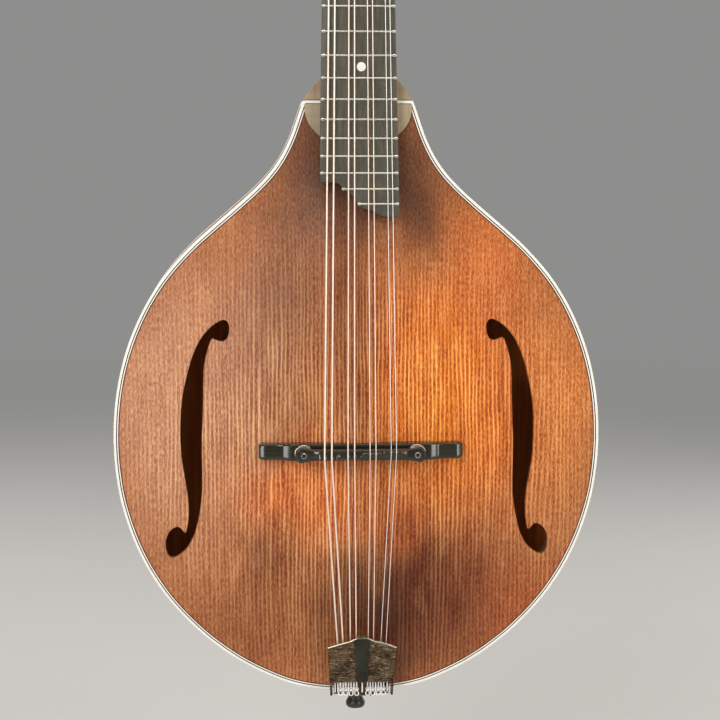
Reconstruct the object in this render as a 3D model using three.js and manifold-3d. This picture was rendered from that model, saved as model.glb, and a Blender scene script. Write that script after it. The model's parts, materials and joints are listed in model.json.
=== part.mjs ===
// Long-scale mandolin with an oval-shouldered, arched, f-hole body.
// Built in instrument coordinates: x = across (treble side positive), y = along the
// strings from the bridge line towards the nut, z = height above the binding plane.
// The exported group turns these to +Z up (neck up), front facing -Y, origin at the
// hanging point behind the nut.
import * as THREE from 'three';
import { mergeVertices, mergeGeometries } from 'three/addons/utils/BufferGeometryUtils.js';
import Module from 'manifold-3d';

const wasm = await Module();
wasm.setup();

// ---------------------------------------------------------------- dimensions (mm)
const SCALE = 578;             // nut to bridge
const HANG_H = -34;            // height of the hanging point at the nut line
const RIM_DEPTH = 54;          // rim with both plates' edges
const BIND_W = 2.3, BIND_H = 6;
const GAP = 0.3;
const ARCH_TOP = 13.5, ARCH_BACK = 12;
const PLATE_EDGE = 5, PLATE_MID = 4.2;
const RIB_T = 2.4;
const LINING_W = 5, LINING_H = 11;
const NECK_SLOPE = 0.0925;     // fall of the fingerboard plane per mm towards the nut
const JOINT_U = 229.4;         // sixteenth fret, at the body joint
const FB_TOP = 10, FB_T = 6;   // fingerboard height at the joint, and its thickness
const FRET_H = 1.0;
const NUT_W = 37.5, FB_FLARE = 0.0345;
const HS_ANGLE = 14, HS_T = 14, HS_U0 = 582.9;
const OVERLAY_T = 2.5;
const POST_V = 23, POST_S = [40, 63, 86, 109];
const POST_R = 3.0, WRAP_R = 4.1;
const GEAR_R = 5.4, GEAR_TEETH = 14, WORM_R = 2.0, WORM_DS = 7.8, WORM_N = -18.15;
const BRIDGE_BASE_HALF = 67.3, BRIDGE_SHIFT = 1.1;
const SADDLE_Z0 = 27.2, SADDLE_Z1 = 35.6;
const POST_X = [-36.8, 37.3];
const WHEEL_R = 6.1, WHEEL_Z = [24.5, 26.9];
const TAIL_X = 2.2;            // the tailpiece sits slightly to the treble side
const PIN_Z = -27;

// half-width of the body at each station along the strings
const HALF = [
  [-168.6, 0], [-168.4, 9], [-167.8, 18.5], [-166.9, 27], [-165.4, 35.8], [-163.2, 44.4], [-160, 53.2],
  [-152, 70.3], [-144, 83.7], [-136, 94.7], [-128, 104.4], [-116, 116.5], [-104, 126.8], [-92, 135.2],
  [-80, 142.2], [-64, 149.5], [-48, 155.0], [-32, 159.0], [-16, 161.3], [-4, 162.2], [8, 162.4], [24, 161.6], [40, 159.5],
  [56, 156.0], [72, 150.9], [88, 144.0], [100, 137.5], [112, 129.6], [124, 119.8], [136, 108.2], [148, 94.7],
  [160, 80.7], [172, 67.4], [182, 58.0], [192, 51.0], [204, 45.0], [216, 40.6], [224, 37.9], [228.9, 36.0]];

const F_HOLE = [
  [-89.3, 85.6], [-93.3, 83.7], [-97, 81], [-100.6, 77.3], [-104.1, 72.7], [-106.8, 67.7], [-109.3, 61.8], [-111.5, 55],
  [-114.1, 44.9], [-116.2, 35], [-117.3, 25.5], [-117.9, 15], [-117.9, 4.1], [-117.2, -7.1], [-115.4, -19], [-113.8, -29.7],
  [-113.0, -38], [-112.9, -45], [-113.8, -52], [-115.2, -57.6], [-117.2, -55.6], [-119.1, -53.6], [-121.3, -53.4],
  [-123.8, -54.7], [-126.0, -57], [-127.7, -60.4], [-128.6, -64.4], [-128.4, -69], [-127.2, -72.6], [-125.2, -74.6],
  [-122.6, -74.5], [-118.5, -72.1], [-114.2, -67.8], [-111.1, -62.5], [-109.2, -58.2], [-107.7, -53.2], [-106.2, -46.5],
  [-104.8, -38], [-103.9, -30], [-103.6, -22], [-103.6, -14], [-103.7, -4], [-103.6, 6], [-103.2, 17], [-102.8, 27],
  [-102.5, 36], [-102.4, 44], [-102.0, 52.9], [-101.1, 59], [-99.7, 64.8], [-98.2, 69.5], [-96.4, 73.2], [-94.2, 72.4],
  [-92.1, 71.7], [-89.6, 71.3], [-87.6, 72.2], [-86.1, 74.3], [-85.2, 77.5], [-85.0, 80.5], [-85.6, 83.4], [-87.2, 85.3]];

// strings: radius, then x at the tail hook, saddle and nut, bass to treble
const STRINGS = [
  { r: 0.58, hook: -11.9, saddle: -23.5, nut: -15.6 }, { r: 0.58, hook: -8.4, saddle: -18.85, nut: -12.3 },
  { r: 0.44, hook: -4.8, saddle: -8.35, nut: -4.7 }, { r: 0.44, hook: -1.0, saddle: -4.0, nut: -1.8 },
  { r: 0.32, hook: 6.4, saddle: 6.05, nut: 4.8 }, { r: 0.32, hook: 9.9, saddle: 9.9, nut: 7.5 },
  { r: 0.22, hook: 13.6, saddle: 19.8, nut: 14.1 }, { r: 0.22, hook: 17.2, saddle: 23.25, nut: 16.5 }];

// ---------------------------------------------------------------- helpers
const weld = g => { g = g.index ? g.toNonIndexed() : g.clone(); g.deleteAttribute('normal'); g.deleteAttribute('uv'); return mergeVertices(g, 1e-4); };
function volume(g) {
  const p = g.attributes.position, ix = g.index.array; let v = 0;
  const a = new THREE.Vector3(), b = new THREE.Vector3(), c = new THREE.Vector3();
  for (let i = 0; i < ix.length; i += 3) {
    a.fromBufferAttribute(p, ix[i]); b.fromBufferAttribute(p, ix[i + 1]); c.fromBufferAttribute(p, ix[i + 2]);
    v += a.dot(b.cross(c)) / 6;
  }
  return v;
}
function outward(g) {
  g = weld(g);
  if (volume(g) < 0) { const ix = g.index.array; for (let i = 0; i < ix.length; i += 3) { const t = ix[i]; ix[i] = ix[i + 1]; ix[i + 1] = t; } }
  return g;
}
function solid(g) {
  g = outward(g);
  const m = new wasm.Mesh({ numProp: 3, vertProperties: new Float32Array(g.attributes.position.array), triVerts: new Uint32Array(g.index.array) });
  m.merge();
  return new wasm.Manifold(m);
}
function geo(man) {
  const m = man.getMesh();
  const g = new THREE.BufferGeometry();
  g.setAttribute('position', new THREE.BufferAttribute(new Float32Array(m.vertProperties), 3));
  g.setIndex(new THREE.BufferAttribute(new Uint32Array(m.triVerts), 1));
  return g;
}
const raw = (pos, idx) => { const g = new THREE.BufferGeometry(); g.setAttribute('position', new THREE.Float32BufferAttribute(pos, 3)); g.setIndex(idx); return g; };
// prism of a 2-D outline between two heights
function prism(pts, z0, z1, holes = []) {
  const s = new THREE.Shape(pts.map(p => new THREE.Vector2(p[0], p[1])));
  for (const h of holes) s.holes.push(new THREE.Path(h.map(p => new THREE.Vector2(p[0], p[1]))));
  const g = new THREE.ExtrudeGeometry(s, { depth: z1 - z0, bevelEnabled: false, steps: 1, curveSegments: 1 });
  g.translate(0, 0, z0); return g;
}
// prism of a section in (y,z) running across from x0 to x1
function bar(sec, x0, x1) {
  const n = sec.length, pos = [], idx = [];
  for (const x of [x0, x1]) for (const [y, z] of sec) pos.push(x, y, z);
  for (let i = 0; i < n; i++) { const j = (i + 1) % n; idx.push(i, j, n + j, i, n + j, n + i); }
  for (let i = 1; i < n - 1; i++) { idx.push(0, i + 1, i, n, n + i, n + i + 1); }
  return raw(pos, idx);
}
const box = (x0, x1, y0, y1, z0, z1) => new THREE.BoxGeometry(x1 - x0, y1 - y0, z1 - z0).translate((x0 + x1) / 2, (y0 + y1) / 2, (z0 + z1) / 2);
// loft through rings of equal length, capped by fans about each end's centre
function loft(rings) {
  const n = rings[0].length, pos = [], idx = [];
  rings.forEach(r => r.forEach(p => pos.push(...p)));
  for (let k = 0; k < rings.length - 1; k++) for (let i = 0; i < n; i++) {
    const j = (i + 1) % n, a = k * n + i, b = k * n + j, c = a + n, d = b + n;
    idx.push(a, b, d, a, d, c);
  }
  const cap = (k, flip) => {
    const c = [0, 0, 0]; rings[k].forEach(p => { c[0] += p[0] / n; c[1] += p[1] / n; c[2] += p[2] / n; });
    const ci = pos.length / 3; pos.push(...c);
    for (let i = 0; i < n; i++) { const a = k * n + i, b = k * n + (i + 1) % n; flip ? idx.push(ci, b, a) : idx.push(ci, a, b); }
  };
  cap(0, true); cap(rings.length - 1, false);
  return raw(pos, idx);
}
const lathe = (prof, seg) => new THREE.LatheGeometry(prof.map(p => new THREE.Vector2(p[0], p[1])), seg);
const latheZ = (prof, seg) => lathe(prof, seg).rotateX(Math.PI / 2);            // axis along z
const latheX = (prof, seg) => lathe(prof, seg).rotateZ(-Math.PI / 2);           // axis along x
// lathe axis y needs no turn
const cyl = (r, y0, y1, seg) => lathe([[0, y0], [r, y0], [r, y1], [0, y1]], seg);
const cylZ = (r, z0, z1, seg) => latheZ([[0, z0], [r, z0], [r, z1], [0, z1]], seg);
// round wire through points
function wire(pts, r, sides) {
  const P = pts.map(p => new THREE.Vector3(...p)), rings = [];
  const ref = new THREE.Vector3(1, 0, 0);
  for (let i = 0; i < P.length; i++) {
    const t = new THREE.Vector3();
    if (i > 0) t.add(P[i].clone().sub(P[i - 1]).normalize());
    if (i < P.length - 1) t.add(P[i + 1].clone().sub(P[i]).normalize());
    t.normalize();
    const a = ref.clone().sub(t.clone().multiplyScalar(ref.dot(t))).normalize(), b = t.clone().cross(a);
    rings.push([...Array(sides).keys()].map(k => {
      const w = 2 * Math.PI * k / sides, q = P[i].clone().addScaledVector(a, r * Math.cos(w)).addScaledVector(b, r * Math.sin(w));
      return [q.x, q.y, q.z];
    }));
  }
  return loft(rings);
}
// tilt of the fingerboard plane: heights measured from it become instrument heights
const tilt = g => g.applyMatrix4(new THREE.Matrix4().set(1, 0, 0, 0, 0, 1, 0, 0, 0, -NECK_SLOPE, 1, NECK_SLOPE * JOINT_U, 0, 0, 0, 1));
const boardHalf = u => (NUT_W + (SCALE - u) * FB_FLARE) / 2;

// ---------------------------------------------------------------- body outline
const half = new THREE.CatmullRomCurve3(HALF.map(([u, w]) => new THREE.Vector3(w, u, 0)), false, 'centripetal');
const SIDE = 25;
const right = half.getSpacedPoints(SIDE).map(p => [p.x, p.y]);               // tail centre to neck corner
right[0][0] = 0;
const across = [[12, 228.9], [-12, 228.9]];
const OUTLINE = [...right, ...across, ...right.slice(1).reverse().map(([x, y]) => [-x, y])];
function inset(d, poly = OUTLINE) {
  const n = poly.length, out = [];
  for (let i = 0; i < n; i++) {
    const a = poly[(i + n - 1) % n], b = poly[i], c = poly[(i + 1) % n];
    const e1 = [b[0] - a[0], b[1] - a[1]], e2 = [c[0] - b[0], c[1] - b[1]];
    const l1 = Math.hypot(...e1), l2 = Math.hypot(...e2);
    const n1 = [-e1[1] / l1, e1[0] / l1], n2 = [-e2[1] / l2, e2[0] / l2];
    const k = d / (1 + n1[0] * n2[0] + n1[1] * n2[1]);
    out.push([b[0] + (n1[0] + n2[0]) * k, b[1] + (n1[1] + n2[1]) * k]);
  }
  return out;
}
const PLATE_LINE = inset(BIND_W + GAP);
const polar = PLATE_LINE.map(([x, y]) => [Math.atan2(y, x), Math.hypot(x, y)]).sort((a, b) => a[0] - b[0]);
function reach(x, y) {
  const t = Math.atan2(y, x), n = polar.length;
  for (let i = 0; i < n; i++) {
    let a = polar[i], b = polar[(i + 1) % n], ta = a[0], tb = b[0], tt = t;
    if (i === n - 1) { tb += 2 * Math.PI; if (tt < ta) tt += 2 * Math.PI; }
    if (tt >= ta && tt <= tb) return Math.min(1, Math.hypot(x, y) / (a[1] + (b[1] - a[1]) * (tt - ta) / (tb - ta)));
  }
  return 1;
}
const rise = s => 0.5 * (1 + Math.cos(Math.PI * Math.pow(s, 1.15)));
const topH = (x, y) => ARCH_TOP * rise(reach(x, y));
const underH = (x, y) => { const s = reach(x, y); return ARCH_TOP * rise(s) - (PLATE_MID + (PLATE_EDGE - PLATE_MID) * s * s); };

// arched plate: outer skin z = sign * height, over a grid of scaled outlines
function dome(line, rings, outer, inner) {
  const n = line.length, pos = [], idx = [];
  const layer = f => {
    const base = pos.length / 3; pos.push(0, 0, f(0));
    for (let j = 1; j <= rings; j++) { const s = j / rings; for (const [x, y] of line) pos.push(x * s, y * s, f(s)); }
    return base;
  };
  const A = layer(outer), B = layer(inner);
  const skin = (b, up) => {
    for (let i = 0; i < n; i++) { const j = (i + 1) % n; up ? idx.push(b, b + 1 + i, b + 1 + j) : idx.push(b, b + 1 + j, b + 1 + i); }
    for (let r = 0; r < rings - 1; r++) for (let i = 0; i < n; i++) {
      const j = (i + 1) % n, p = b + 1 + r * n, q = p + n;
      up ? idx.push(p + i, q + i, q + j, p + i, q + j, p + j) : idx.push(p + i, q + j, q + i, p + i, p + j, q + j);
    }
  };
  skin(A, true); skin(B, false);
  const ra = A + 1 + (rings - 1) * n, rb = B + 1 + (rings - 1) * n;
  for (let i = 0; i < n; i++) { const j = (i + 1) % n; idx.push(rb + i, rb + j, ra + j, rb + i, ra + j, ra + i); }
  return raw(pos, idx);
}
const plateT = s => PLATE_MID + (PLATE_EDGE - PLATE_MID) * s * s;
const topSolid = solid(dome(PLATE_LINE, 6, s => ARCH_TOP * rise(s), s => ARCH_TOP * rise(s) - plateT(s)));
const mirrorX = pts => pts.map(([x, y]) => [-x, y]).reverse();
const topPlate = topSolid.subtract(solid(prism(F_HOLE, -20, 30))).subtract(solid(prism(mirrorX(F_HOLE), -20, 30)));
const backPlate = solid(dome(PLATE_LINE, 5, s => -RIM_DEPTH + plateT(s) - ARCH_BACK * rise(s), s => -RIM_DEPTH - ARCH_BACK * rise(s)));

// ---------------------------------------------------------------- rim
const ringSolid = (d0, d1, z0, z1) => solid(prism(inset(d0), z0, z1)).subtract(solid(prism(inset(d1), z0 - 1, z1 + 1)));
const topBinding = ringSolid(0, BIND_W, -BIND_H, 0);
const backBinding = ringSolid(0, BIND_W, -RIM_DEPTH, -RIM_DEPTH + BIND_H);
const RIB_Z0 = -RIM_DEPTH + BIND_H + GAP, RIB_Z1 = -BIND_H - GAP;
const pinHole = solid(cyl(4.4, -175, -140, 12).translate(0, 0, PIN_Z));
const rimRing = ringSolid(GAP, GAP + RIB_T, RIB_Z0, RIB_Z1).subtract(solid(box(-50, 50, 227.9 - 0.2, 240, -80, 20))).subtract(pinHole);
const keepLeft = solid(box(-300, -0.15, -300, 400, -100, 60)), keepRight = solid(box(0.15, 300, -300, 400, -100, 60));
const ribBass = rimRing.intersect(keepLeft), ribTreble = rimRing.intersect(keepRight);
const IN = GAP + RIB_T + GAP;
const core = (z0, z1) => solid(prism(inset(IN), z0, z1));
const neckBlock = core(-RIM_DEPTH + PLATE_EDGE + 0.4, -PLATE_EDGE - 0.4).intersect(solid(box(-60, 60, 192, 227.6, -90, 20)));
const tailBlock = core(-RIM_DEPTH + PLATE_EDGE + 0.4, -PLATE_EDGE - 0.4).intersect(solid(box(-38, 38, -190, -146, -90, 20))).subtract(pinHole);
const clearOfBlocks = m => m.subtract(solid(box(-80, 80, 191.7, 240, -90, 20))).subtract(solid(box(-38.3, 38.3, -190, -120, -90, 20)));
const liningTop = clearOfBlocks(ringSolid(IN, IN + LINING_W, -PLATE_EDGE - 0.5 - LINING_H, -PLATE_EDGE - 0.5));
const liningBack = clearOfBlocks(ringSolid(IN, IN + LINING_W, -RIM_DEPTH + PLATE_EDGE + 0.5, -RIM_DEPTH + PLATE_EDGE + 0.5 + LINING_H));

// tone bars: spruce bars following the underside of the top
function toneBar(x0, y0, x1, y1, w) {
  const rings = [];
  for (let k = 0; k <= 8; k++) {
    const t = k / 8, x = x0 + (x1 - x0) * t, y = y0 + (y1 - y0) * t, d = 4 + 9 * Math.sin(Math.PI * Math.min(1, Math.max(0, t)));
    const a = underH(x - w / 2, y) - 0.5, b = underH(x + w / 2, y) - 0.5;
    rings.push([[x - w / 2, y, a], [x + w / 2, y, b], [x + w / 2, y, b - d], [x - w / 2, y, a - d]]);
  }
  return outward(loft(rings));
}

// ---------------------------------------------------------------- neck
function neckEar(u) {
  const T = [[229.3, 35.6], [230.6, 34.7], [233.5, 33.0], [237.1, 30.5], [240, 27.9], [242.3, 25.4], [244, 24.5]];
  for (let i = 0; i < T.length - 1; i++) if (u <= T[i + 1][0]) { const t = (u - T[i][0]) / (T[i + 1][0] - T[i][0]); return T[i][1] + (T[i + 1][1] - T[i][1]) * t; }
  return 0;
}
const DEPTH = [[229.3, 57.5], [233.5, 56.5], [237.1, 54], [240, 51], [243, 47.5], [247, 42.5], [252, 37], [258, 31.8], [266, 27], [278, 23.2], [295, 21.2], [330, 20.2], [460, 18.2], [560, 16.4], [585, 15.6]];
// section: a tongue of the fingerboard's width, stepping down to ears level with the binding at the body
const neckRings = DEPTH.map(([u, d]) => {
  const b = boardHalf(u) - 0.1, w = Math.max(neckEar(u), b + 0.05), z0 = FB_TOP - FB_T - GAP, K = 10;
  const ze = Math.min(z0 - 1.5, (u - JOINT_U) * NECK_SLOPE + Math.max(0, Math.min(1, (u - 240) / 6)) * 1.5);
  const ring = [[b, u, z0], [-b, u, z0], [-b, u, ze]];
  for (let k = 0; k <= K; k++) { const a = Math.PI * k / K; ring.push([-w * Math.cos(a), u, ze - 0.1 - (d + ze - z0) * Math.sin(a)]); }
  ring.push([b, u, ze]);
  return ring;
});
let neckMan = solid(tilt(loft(neckRings)));
const HS_LINE_R = [[18.6, -3], [18.9, 4], [21, 10], [26, 16], [31, 22], [33.5, 28.5], [34, 45], [34, 75], [35.3, 105], [36.6, 128], [36.2, 138], [33, 146.5], [26, 151.2], [16, 153.6], [8, 156], [0, 157.2]];
const HS_LINE = [...HS_LINE_R, ...HS_LINE_R.slice(0, -1).reverse().map(([x, y]) => [-x, y])];
const HS_A = -(Math.atan(NECK_SLOPE) + HS_ANGLE * Math.PI / 180);
const HS_Z0 = FB_TOP - FB_T - GAP - (HS_U0 - JOINT_U) * NECK_SLOPE;
const toHead = new THREE.Matrix4().makeTranslation(0, HS_U0, HS_Z0).multiply(new THREE.Matrix4().makeRotationX(HS_A));
let head = prism(HS_LINE, -HS_T, 0).applyMatrix4(toHead);
neckMan = neckMan.add(solid(head));
// post holes, truss-rod channel and the nut's pocket
for (const s of POST_S) for (const x of [-POST_V, POST_V]) neckMan = neckMan.subtract(solid(cylZ(3.5, -40, 40, 10).translate(x, s, 0).applyMatrix4(toHead)));
const ROD_Z = -1.6;
neckMan = neckMan.subtract(solid(tilt(box(-3.3, 3.3, 262, SCALE + 6, -8.2, 20))));
neckMan = neckMan.subtract(solid(box(-5.6, 5.6, -2.5, 24, -10.5, 20).applyMatrix4(toHead)));
// level the nut's seat
neckMan = neckMan.subtract(solid(tilt(box(-40, 40, 575, HS_U0 - 0.2, FB_TOP - FB_T - GAP, 40))));

const trussRod = solid(tilt(box(-2.9, 2.9, 264, 572, -7.8, 3.2))).add(solid(tilt(cyl(2.4, 560, HS_U0 + 12.5, 12).translate(0, 0, ROD_Z))));
const trussNut = solid(tilt(cyl(4.3, HS_U0 + 4, HS_U0 + 12.5 - 0.4, 6).translate(0, 0, ROD_Z))).subtract(solid(tilt(cyl(2.75, 500, HS_U0 + 30, 12).translate(0, 0, ROD_Z))));

// ---------------------------------------------------------------- fingerboard with its frets
const EXT_END = [[-25.9, 176.3], [-19, 175.9], [-13.8, 175.3], [-11.2, 172.8], [-9, 170.5], [-6, 168.8], [-3.8, 166.6], [-2.4, 163.7], [-0.8, 160.8],
  [3.1, 159.2], [7.6, 158.2], [10.9, 156.2], [14.8, 154.4], [20.6, 153.9], [26.3, 154.4]];
const boardLine = [...EXT_END.map(([x, y]) => [x < -24 ? -boardHalf(y) : x > 25 ? boardHalf(y) : x, y]), [boardHalf(SCALE), SCALE - 0.2], [-boardHalf(SCALE), SCALE - 0.2]];
const FRETS = [...Array(22).keys()].map(i => SCALE * Math.pow(2, -(i + 1) / 12));
let boardMan = solid(prism(boardLine, FB_TOP - FB_T, FB_TOP));
FRETS.forEach((u, i) => {
  const w = boardHalf(u) - 0.05, x0 = i === 20 ? -11.6 : i === 21 ? -1.4 : -w;
  boardMan = boardMan.add(solid(bar([[u - 1.25, FB_TOP - 1], [u - 1.25, FB_TOP + 0.35], [u - 0.6, FB_TOP + FRET_H], [u + 0.6, FB_TOP + FRET_H], [u + 1.25, FB_TOP + 0.35], [u + 1.25, FB_TOP - 1]], x0, w)));
});
const board = tilt(geo(boardMan));

// riser between the top and the fingerboard's end, with its rounded shoulders
const RISER_R = [[35.0, 226.4], [35.0, 222.6], [34.1, 217.5], [31.6, 212.4], [28.3, 208.5], [25.6, 206], [23.6, 203.5], [22.6, 200], [22.4, 180]];
const RISER = [...RISER_R, ...RISER_R.slice().reverse().map(([x, y]) => [-x, y])];
const raised = solid(dome(PLATE_LINE.map(([x, y]) => [x * 1.02, y * 1.02]), 7, s => ARCH_TOP * rise(s) + 0.35, s => -30));
const riser = solid(prism(RISER, -12, 1.7))
  .add(solid(tilt(prism([[-23.4, 226.3], [-22.4, 178], [22.4, 178], [23.4, 226.3]], -12, FB_TOP - FB_T - GAP)))).subtract(raised);

// nut
const nutW = boardHalf(SCALE);
const nutGeo = tilt(bar([[SCALE + 0.1, FB_TOP - FB_T], [SCALE + 4.6, FB_TOP - FB_T], [SCALE + 4.6, FB_TOP + 0.6], [SCALE + 3.2, FB_TOP + 1.2], [SCALE + 0.1, FB_TOP + 1.4]], -nutW, nutW));

// headstock face, truss-rod cover
const OV_LINE = HS_LINE.map(([x, y]) => [x, Math.max(y, 2.4)]).filter((p, i, a) => i === 0 || p[0] !== a[i - 1][0] || p[1] !== a[i - 1][1]);
let overlay = solid(prism(OV_LINE, GAP, GAP + OVERLAY_T)).subtract(solid(box(-5.6, 5.6, -10, 24, -20, 20)));
for (const s of POST_S) for (const x of [-POST_V, POST_V]) overlay = overlay.subtract(solid(cylZ(3.5, -40, 40, 10).translate(x, s, 0)));
const COVER_R = [[8.5, 3.4], [9.6, 6], [9.4, 10], [7.8, 18], [7.2, 25], [6.8, 31], [5, 36.5], [2.2, 40], [0, 41]];
const COVER = [...COVER_R, ...COVER_R.slice(0, -1).reverse().map(([x, y]) => [-x, y])];
const trussCover = prism(COVER, GAP + OVERLAY_T + GAP, GAP + OVERLAY_T + GAP + 1.8);

// ---------------------------------------------------------------- tuners
function tunerPlate(side) {
  const x0 = side * POST_V;
  const line = [];
  for (const [dx, s] of [[-7.5, 28.5], [-5.5, 26.5], [5.5, 26.5], [7.5, 28.5], [7.5, 125.5], [5.5, 127.5], [-5.5, 127.5], [-7.5, 125.5]]) line.push([x0 + dx, s]);
  let m = solid(prism(line, -HS_T - GAP - 1.2, -HS_T - GAP));
  for (const s of POST_S) {
    m = m.subtract(solid(cylZ(3.5, -30, 0, 10).translate(x0, s, 0)));
    for (const dx of [-6.6, 6.6]) {
      const ear = solid(box(x0 + dx - 0.75, x0 + dx + 0.75, s + WORM_DS - 2.6, s + WORM_DS + 2.6, -20.6, -HS_T - GAP - 0.5))
        .subtract(solid(latheX([[0, -2], [1.75, -2], [1.75, 2], [0, 2]], 6).translate(x0 + dx, s + WORM_DS, WORM_N)));
      m = m.add(ear);
    }
  }
  return geo(m);
}
function tunerPost() {
  const star = [];
  for (let k = 0; k < GEAR_TEETH; k++) for (const [f, r] of [[-0.26, 4.4], [0, GEAR_R], [0.26, 4.4]]) {
    const a = 2 * Math.PI * (k + f) / GEAR_TEETH; star.push([r * Math.cos(a), r * Math.sin(a)]);
  }
  const post = solid(latheZ([[0, -20.2], [2.2, -20.2], [2.2, -19.0], [POST_R, -19.0], [POST_R, 5.6], [WRAP_R, 5.9], [WRAP_R, 9.1], [POST_R, 9.4], [POST_R, 12.6], [2.4, 13.4], [0, 13.4]].reverse(), 10));
  return geo(post.add(solid(prism(star, -19.4, -16.9))));
}
function tunerButton(side) {
  // profile along the shaft, from the inner bearing out to the button
  const shaft = solid(latheX([[0, 14.9], [1.2, 14.9], [1.2, 17.6], [WORM_R, 18.2], [WORM_R, 27.8], [1.2, 28.4], [1.2, 37.4], [2.3, 38.0], [2.3, 41], [0, 41]].map(([r, x]) => [r, side * x]), 8));
  const knob = solid(latheX([[0, 39.4], [2.6, 39.6], [4.4, 42], [6.4, 46.5], [6.4, 50.5], [4.6, 54.6], [0, 56]].map(([r, x]) => [r, side * x]), 10).scale(1, 1.05, 0.66));
  return geo(shaft.add(knob));
}

// ---------------------------------------------------------------- bridge
const baseRings = [];
for (const v of [-67.3, -64.5, -59, -53.5, -48.5, -46.5, -34, -22, -20, 0, 20, 22, 34, 46.5, 48.5, 53.5, 59, 64.5, 67.3]) {
  const a = Math.abs(v), x = v + BRIDGE_SHIFT;
  const under = topH(x, 0) + 0.35 + (a < 21 ? 2.2 : 0);
  const zt = a > 66 ? under + 3.2 : a > 62 ? under + 4.6 : a > 50 ? under + 4.2 + (a < 57 ? 1.6 : 0) : a > 47.5 ? 20.2 : 22.4;
  const w = a > 66 ? 4.6 : a > 62 ? 5.3 : a > 47.5 ? 5.2 : 5.6;
  baseRings.push([[x, -w, under], [x, w, under], [x, w, zt - 1.2], [x, w - 1.2, zt], [x, -w + 1.2, zt], [x, -w, zt - 1.2]]);
}
let bridgeBase = solid(loft(baseRings));
for (const x of POST_X) bridgeBase = bridgeBase.subtract(solid(cylZ(2.3, 16, 40, 12).translate(x, 0, 0)));
const saddleLine = [];
{
  const lx = POST_X[0], rx = POST_X[1], R = 5.6;
  for (let k = 0; k <= 8; k++) { const a = Math.PI / 2 + Math.PI * k / 8; saddleLine.push([lx + R * Math.cos(a), R * Math.sin(a)]); }
  saddleLine.push([lx + 4.6, -3.6], [rx - 4.6, -3.6]);
  for (let k = 0; k <= 8; k++) { const a = -Math.PI / 2 + Math.PI * k / 8; saddleLine.push([rx + R * Math.cos(a), R * Math.sin(a)]); }
  saddleLine.push([rx - 4.6, 3.6], [lx + 4.6, 3.6]);
}
let saddle = solid(prism(saddleLine, SADDLE_Z0, 33.2));
// stepped crown: each pair bears at its own distance from the nut
const CROWN = [[-27, -15.2, -2.4], [-14.6, 0.6, -0.9], [1.2, 14, 0.7], [14.6, 27.4, 1.6]];
for (const [x0, x1, c] of CROWN) saddle = saddle.add(solid(bar([[-2.9, 32], [2.9, 32], [2.9, 33.6], [Math.min(2.9, c + 1.1), SADDLE_Z1], [Math.max(-2.9, c - 1.1), SADDLE_Z1], [-2.9, 33.6]], x0, x1)));
saddle = saddle.add(solid(bar([[-2.6, 32], [2.6, 32], [2.6, 34], [1.8, 34.6], [-1.8, 34.6], [-2.6, 34]], -30, 30)));
for (const x of POST_X) saddle = saddle.subtract(solid(cylZ(2.35, 20, 40, 12).translate(x, 0, 0)));
const bridgePost = cylZ(2.0, 16.3, 35.0, 12);
let wheel;
{
  const st = [];
  for (let k = 0; k < 20; k++) for (const [f, r] of [[-0.25, WHEEL_R - 0.35], [0.25, WHEEL_R]]) { const a = 2 * Math.PI * (k + f) / 20; st.push([r * Math.cos(a), r * Math.sin(a)]); }
  wheel = solid(prism(st, WHEEL_Z[0], WHEEL_Z[1])).subtract(solid(cylZ(2.3, 0, 60, 12)));
}
const wheelGeo = geo(wheel);

// ---------------------------------------------------------------- tailpiece
const T = TAIL_X;
const coverLine = [[-23.1, -132.9], [-15, -130.4], [-7.6, -128.4], [-4.6, -126.8], [0, -126.2], [4.6, -126.8], [7.6, -128.2], [15, -130], [23.1, -133.1], [22.2, -146], [21.3, -158.6], [-21.3, -158.6], [-22.2, -146]].map(([x, y]) => [x + T, y]);
const slopeTail = g => g.applyMatrix4(new THREE.Matrix4().set(1, 0, 0, 0, 0, 1, 0, 0, 0, 0.165, 1, 0.165 * 160, 0, 0, 0, 1));
let tailCover = solid(prism(coverLine, 11.0, 13.2))
  .add(solid(prism([[T - 23, -133.4], [T - 20.6, -133.4], [T - 19.4, -168.4], [T - 21.2, -168.4]], 8.6, 13.0)))
  .add(solid(prism([[T + 20.6, -133.4], [T + 23, -133.4], [T + 21.2, -168.4], [T + 19.4, -168.4]], 8.6, 13.0)))
  .add(solid(prism([[T - 5.4, -127.6], [T + 5.4, -127.6], [T + 3.6, -158.4], [T - 3.6, -158.4]], 12.5, 14.4)));
tailCover = solid(slopeTail(geo(tailCover)));
let tailBase = solid(box(T - 18.6, T + 18.6, -168.5, -141, 5.0, 7.0));
STRINGS.forEach(s => { tailBase = tailBase.add(solid(cylZ(0.9, 6.5, 10.6, 8).translate(s.hook, -164.6, 0))); });
for (let k = 0; k < 10; k++) { const x = [-15.6, -13.7, -10.15, -6.6, -2.9, 2.7, 8.15, 11.75, 15.4, 19.6][k]; tailBase = tailBase.add(solid(box(x - 0.45, x + 0.45, -168.5, -160.4, 6.5, 9.8))); }
tailBase = tailBase.add(solid(box(T - 8.5, T + 8.5, -171.0, -168.9, -44, 7.0)))
  .add(solid(box(T - 8.5, T + 8.5, -170.9, -160, 5.0, 7.0)))
  .subtract(solid(cyl(4.4, -180, -160, 12).translate(0, 0, PIN_Z)));

// end pin: turned ebony, flat end
const endPin = lathe([[0, -188], [5.6, -188], [6.6, -186.6], [6.7, -184], [5.0, -180.5], [4.8, -177], [7.3, -173.6], [7.4, -171.4], [4.0, -171.4], [3.6, -148], [0, -148]].reverse(), 16).translate(0, 0, PIN_Z);

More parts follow.
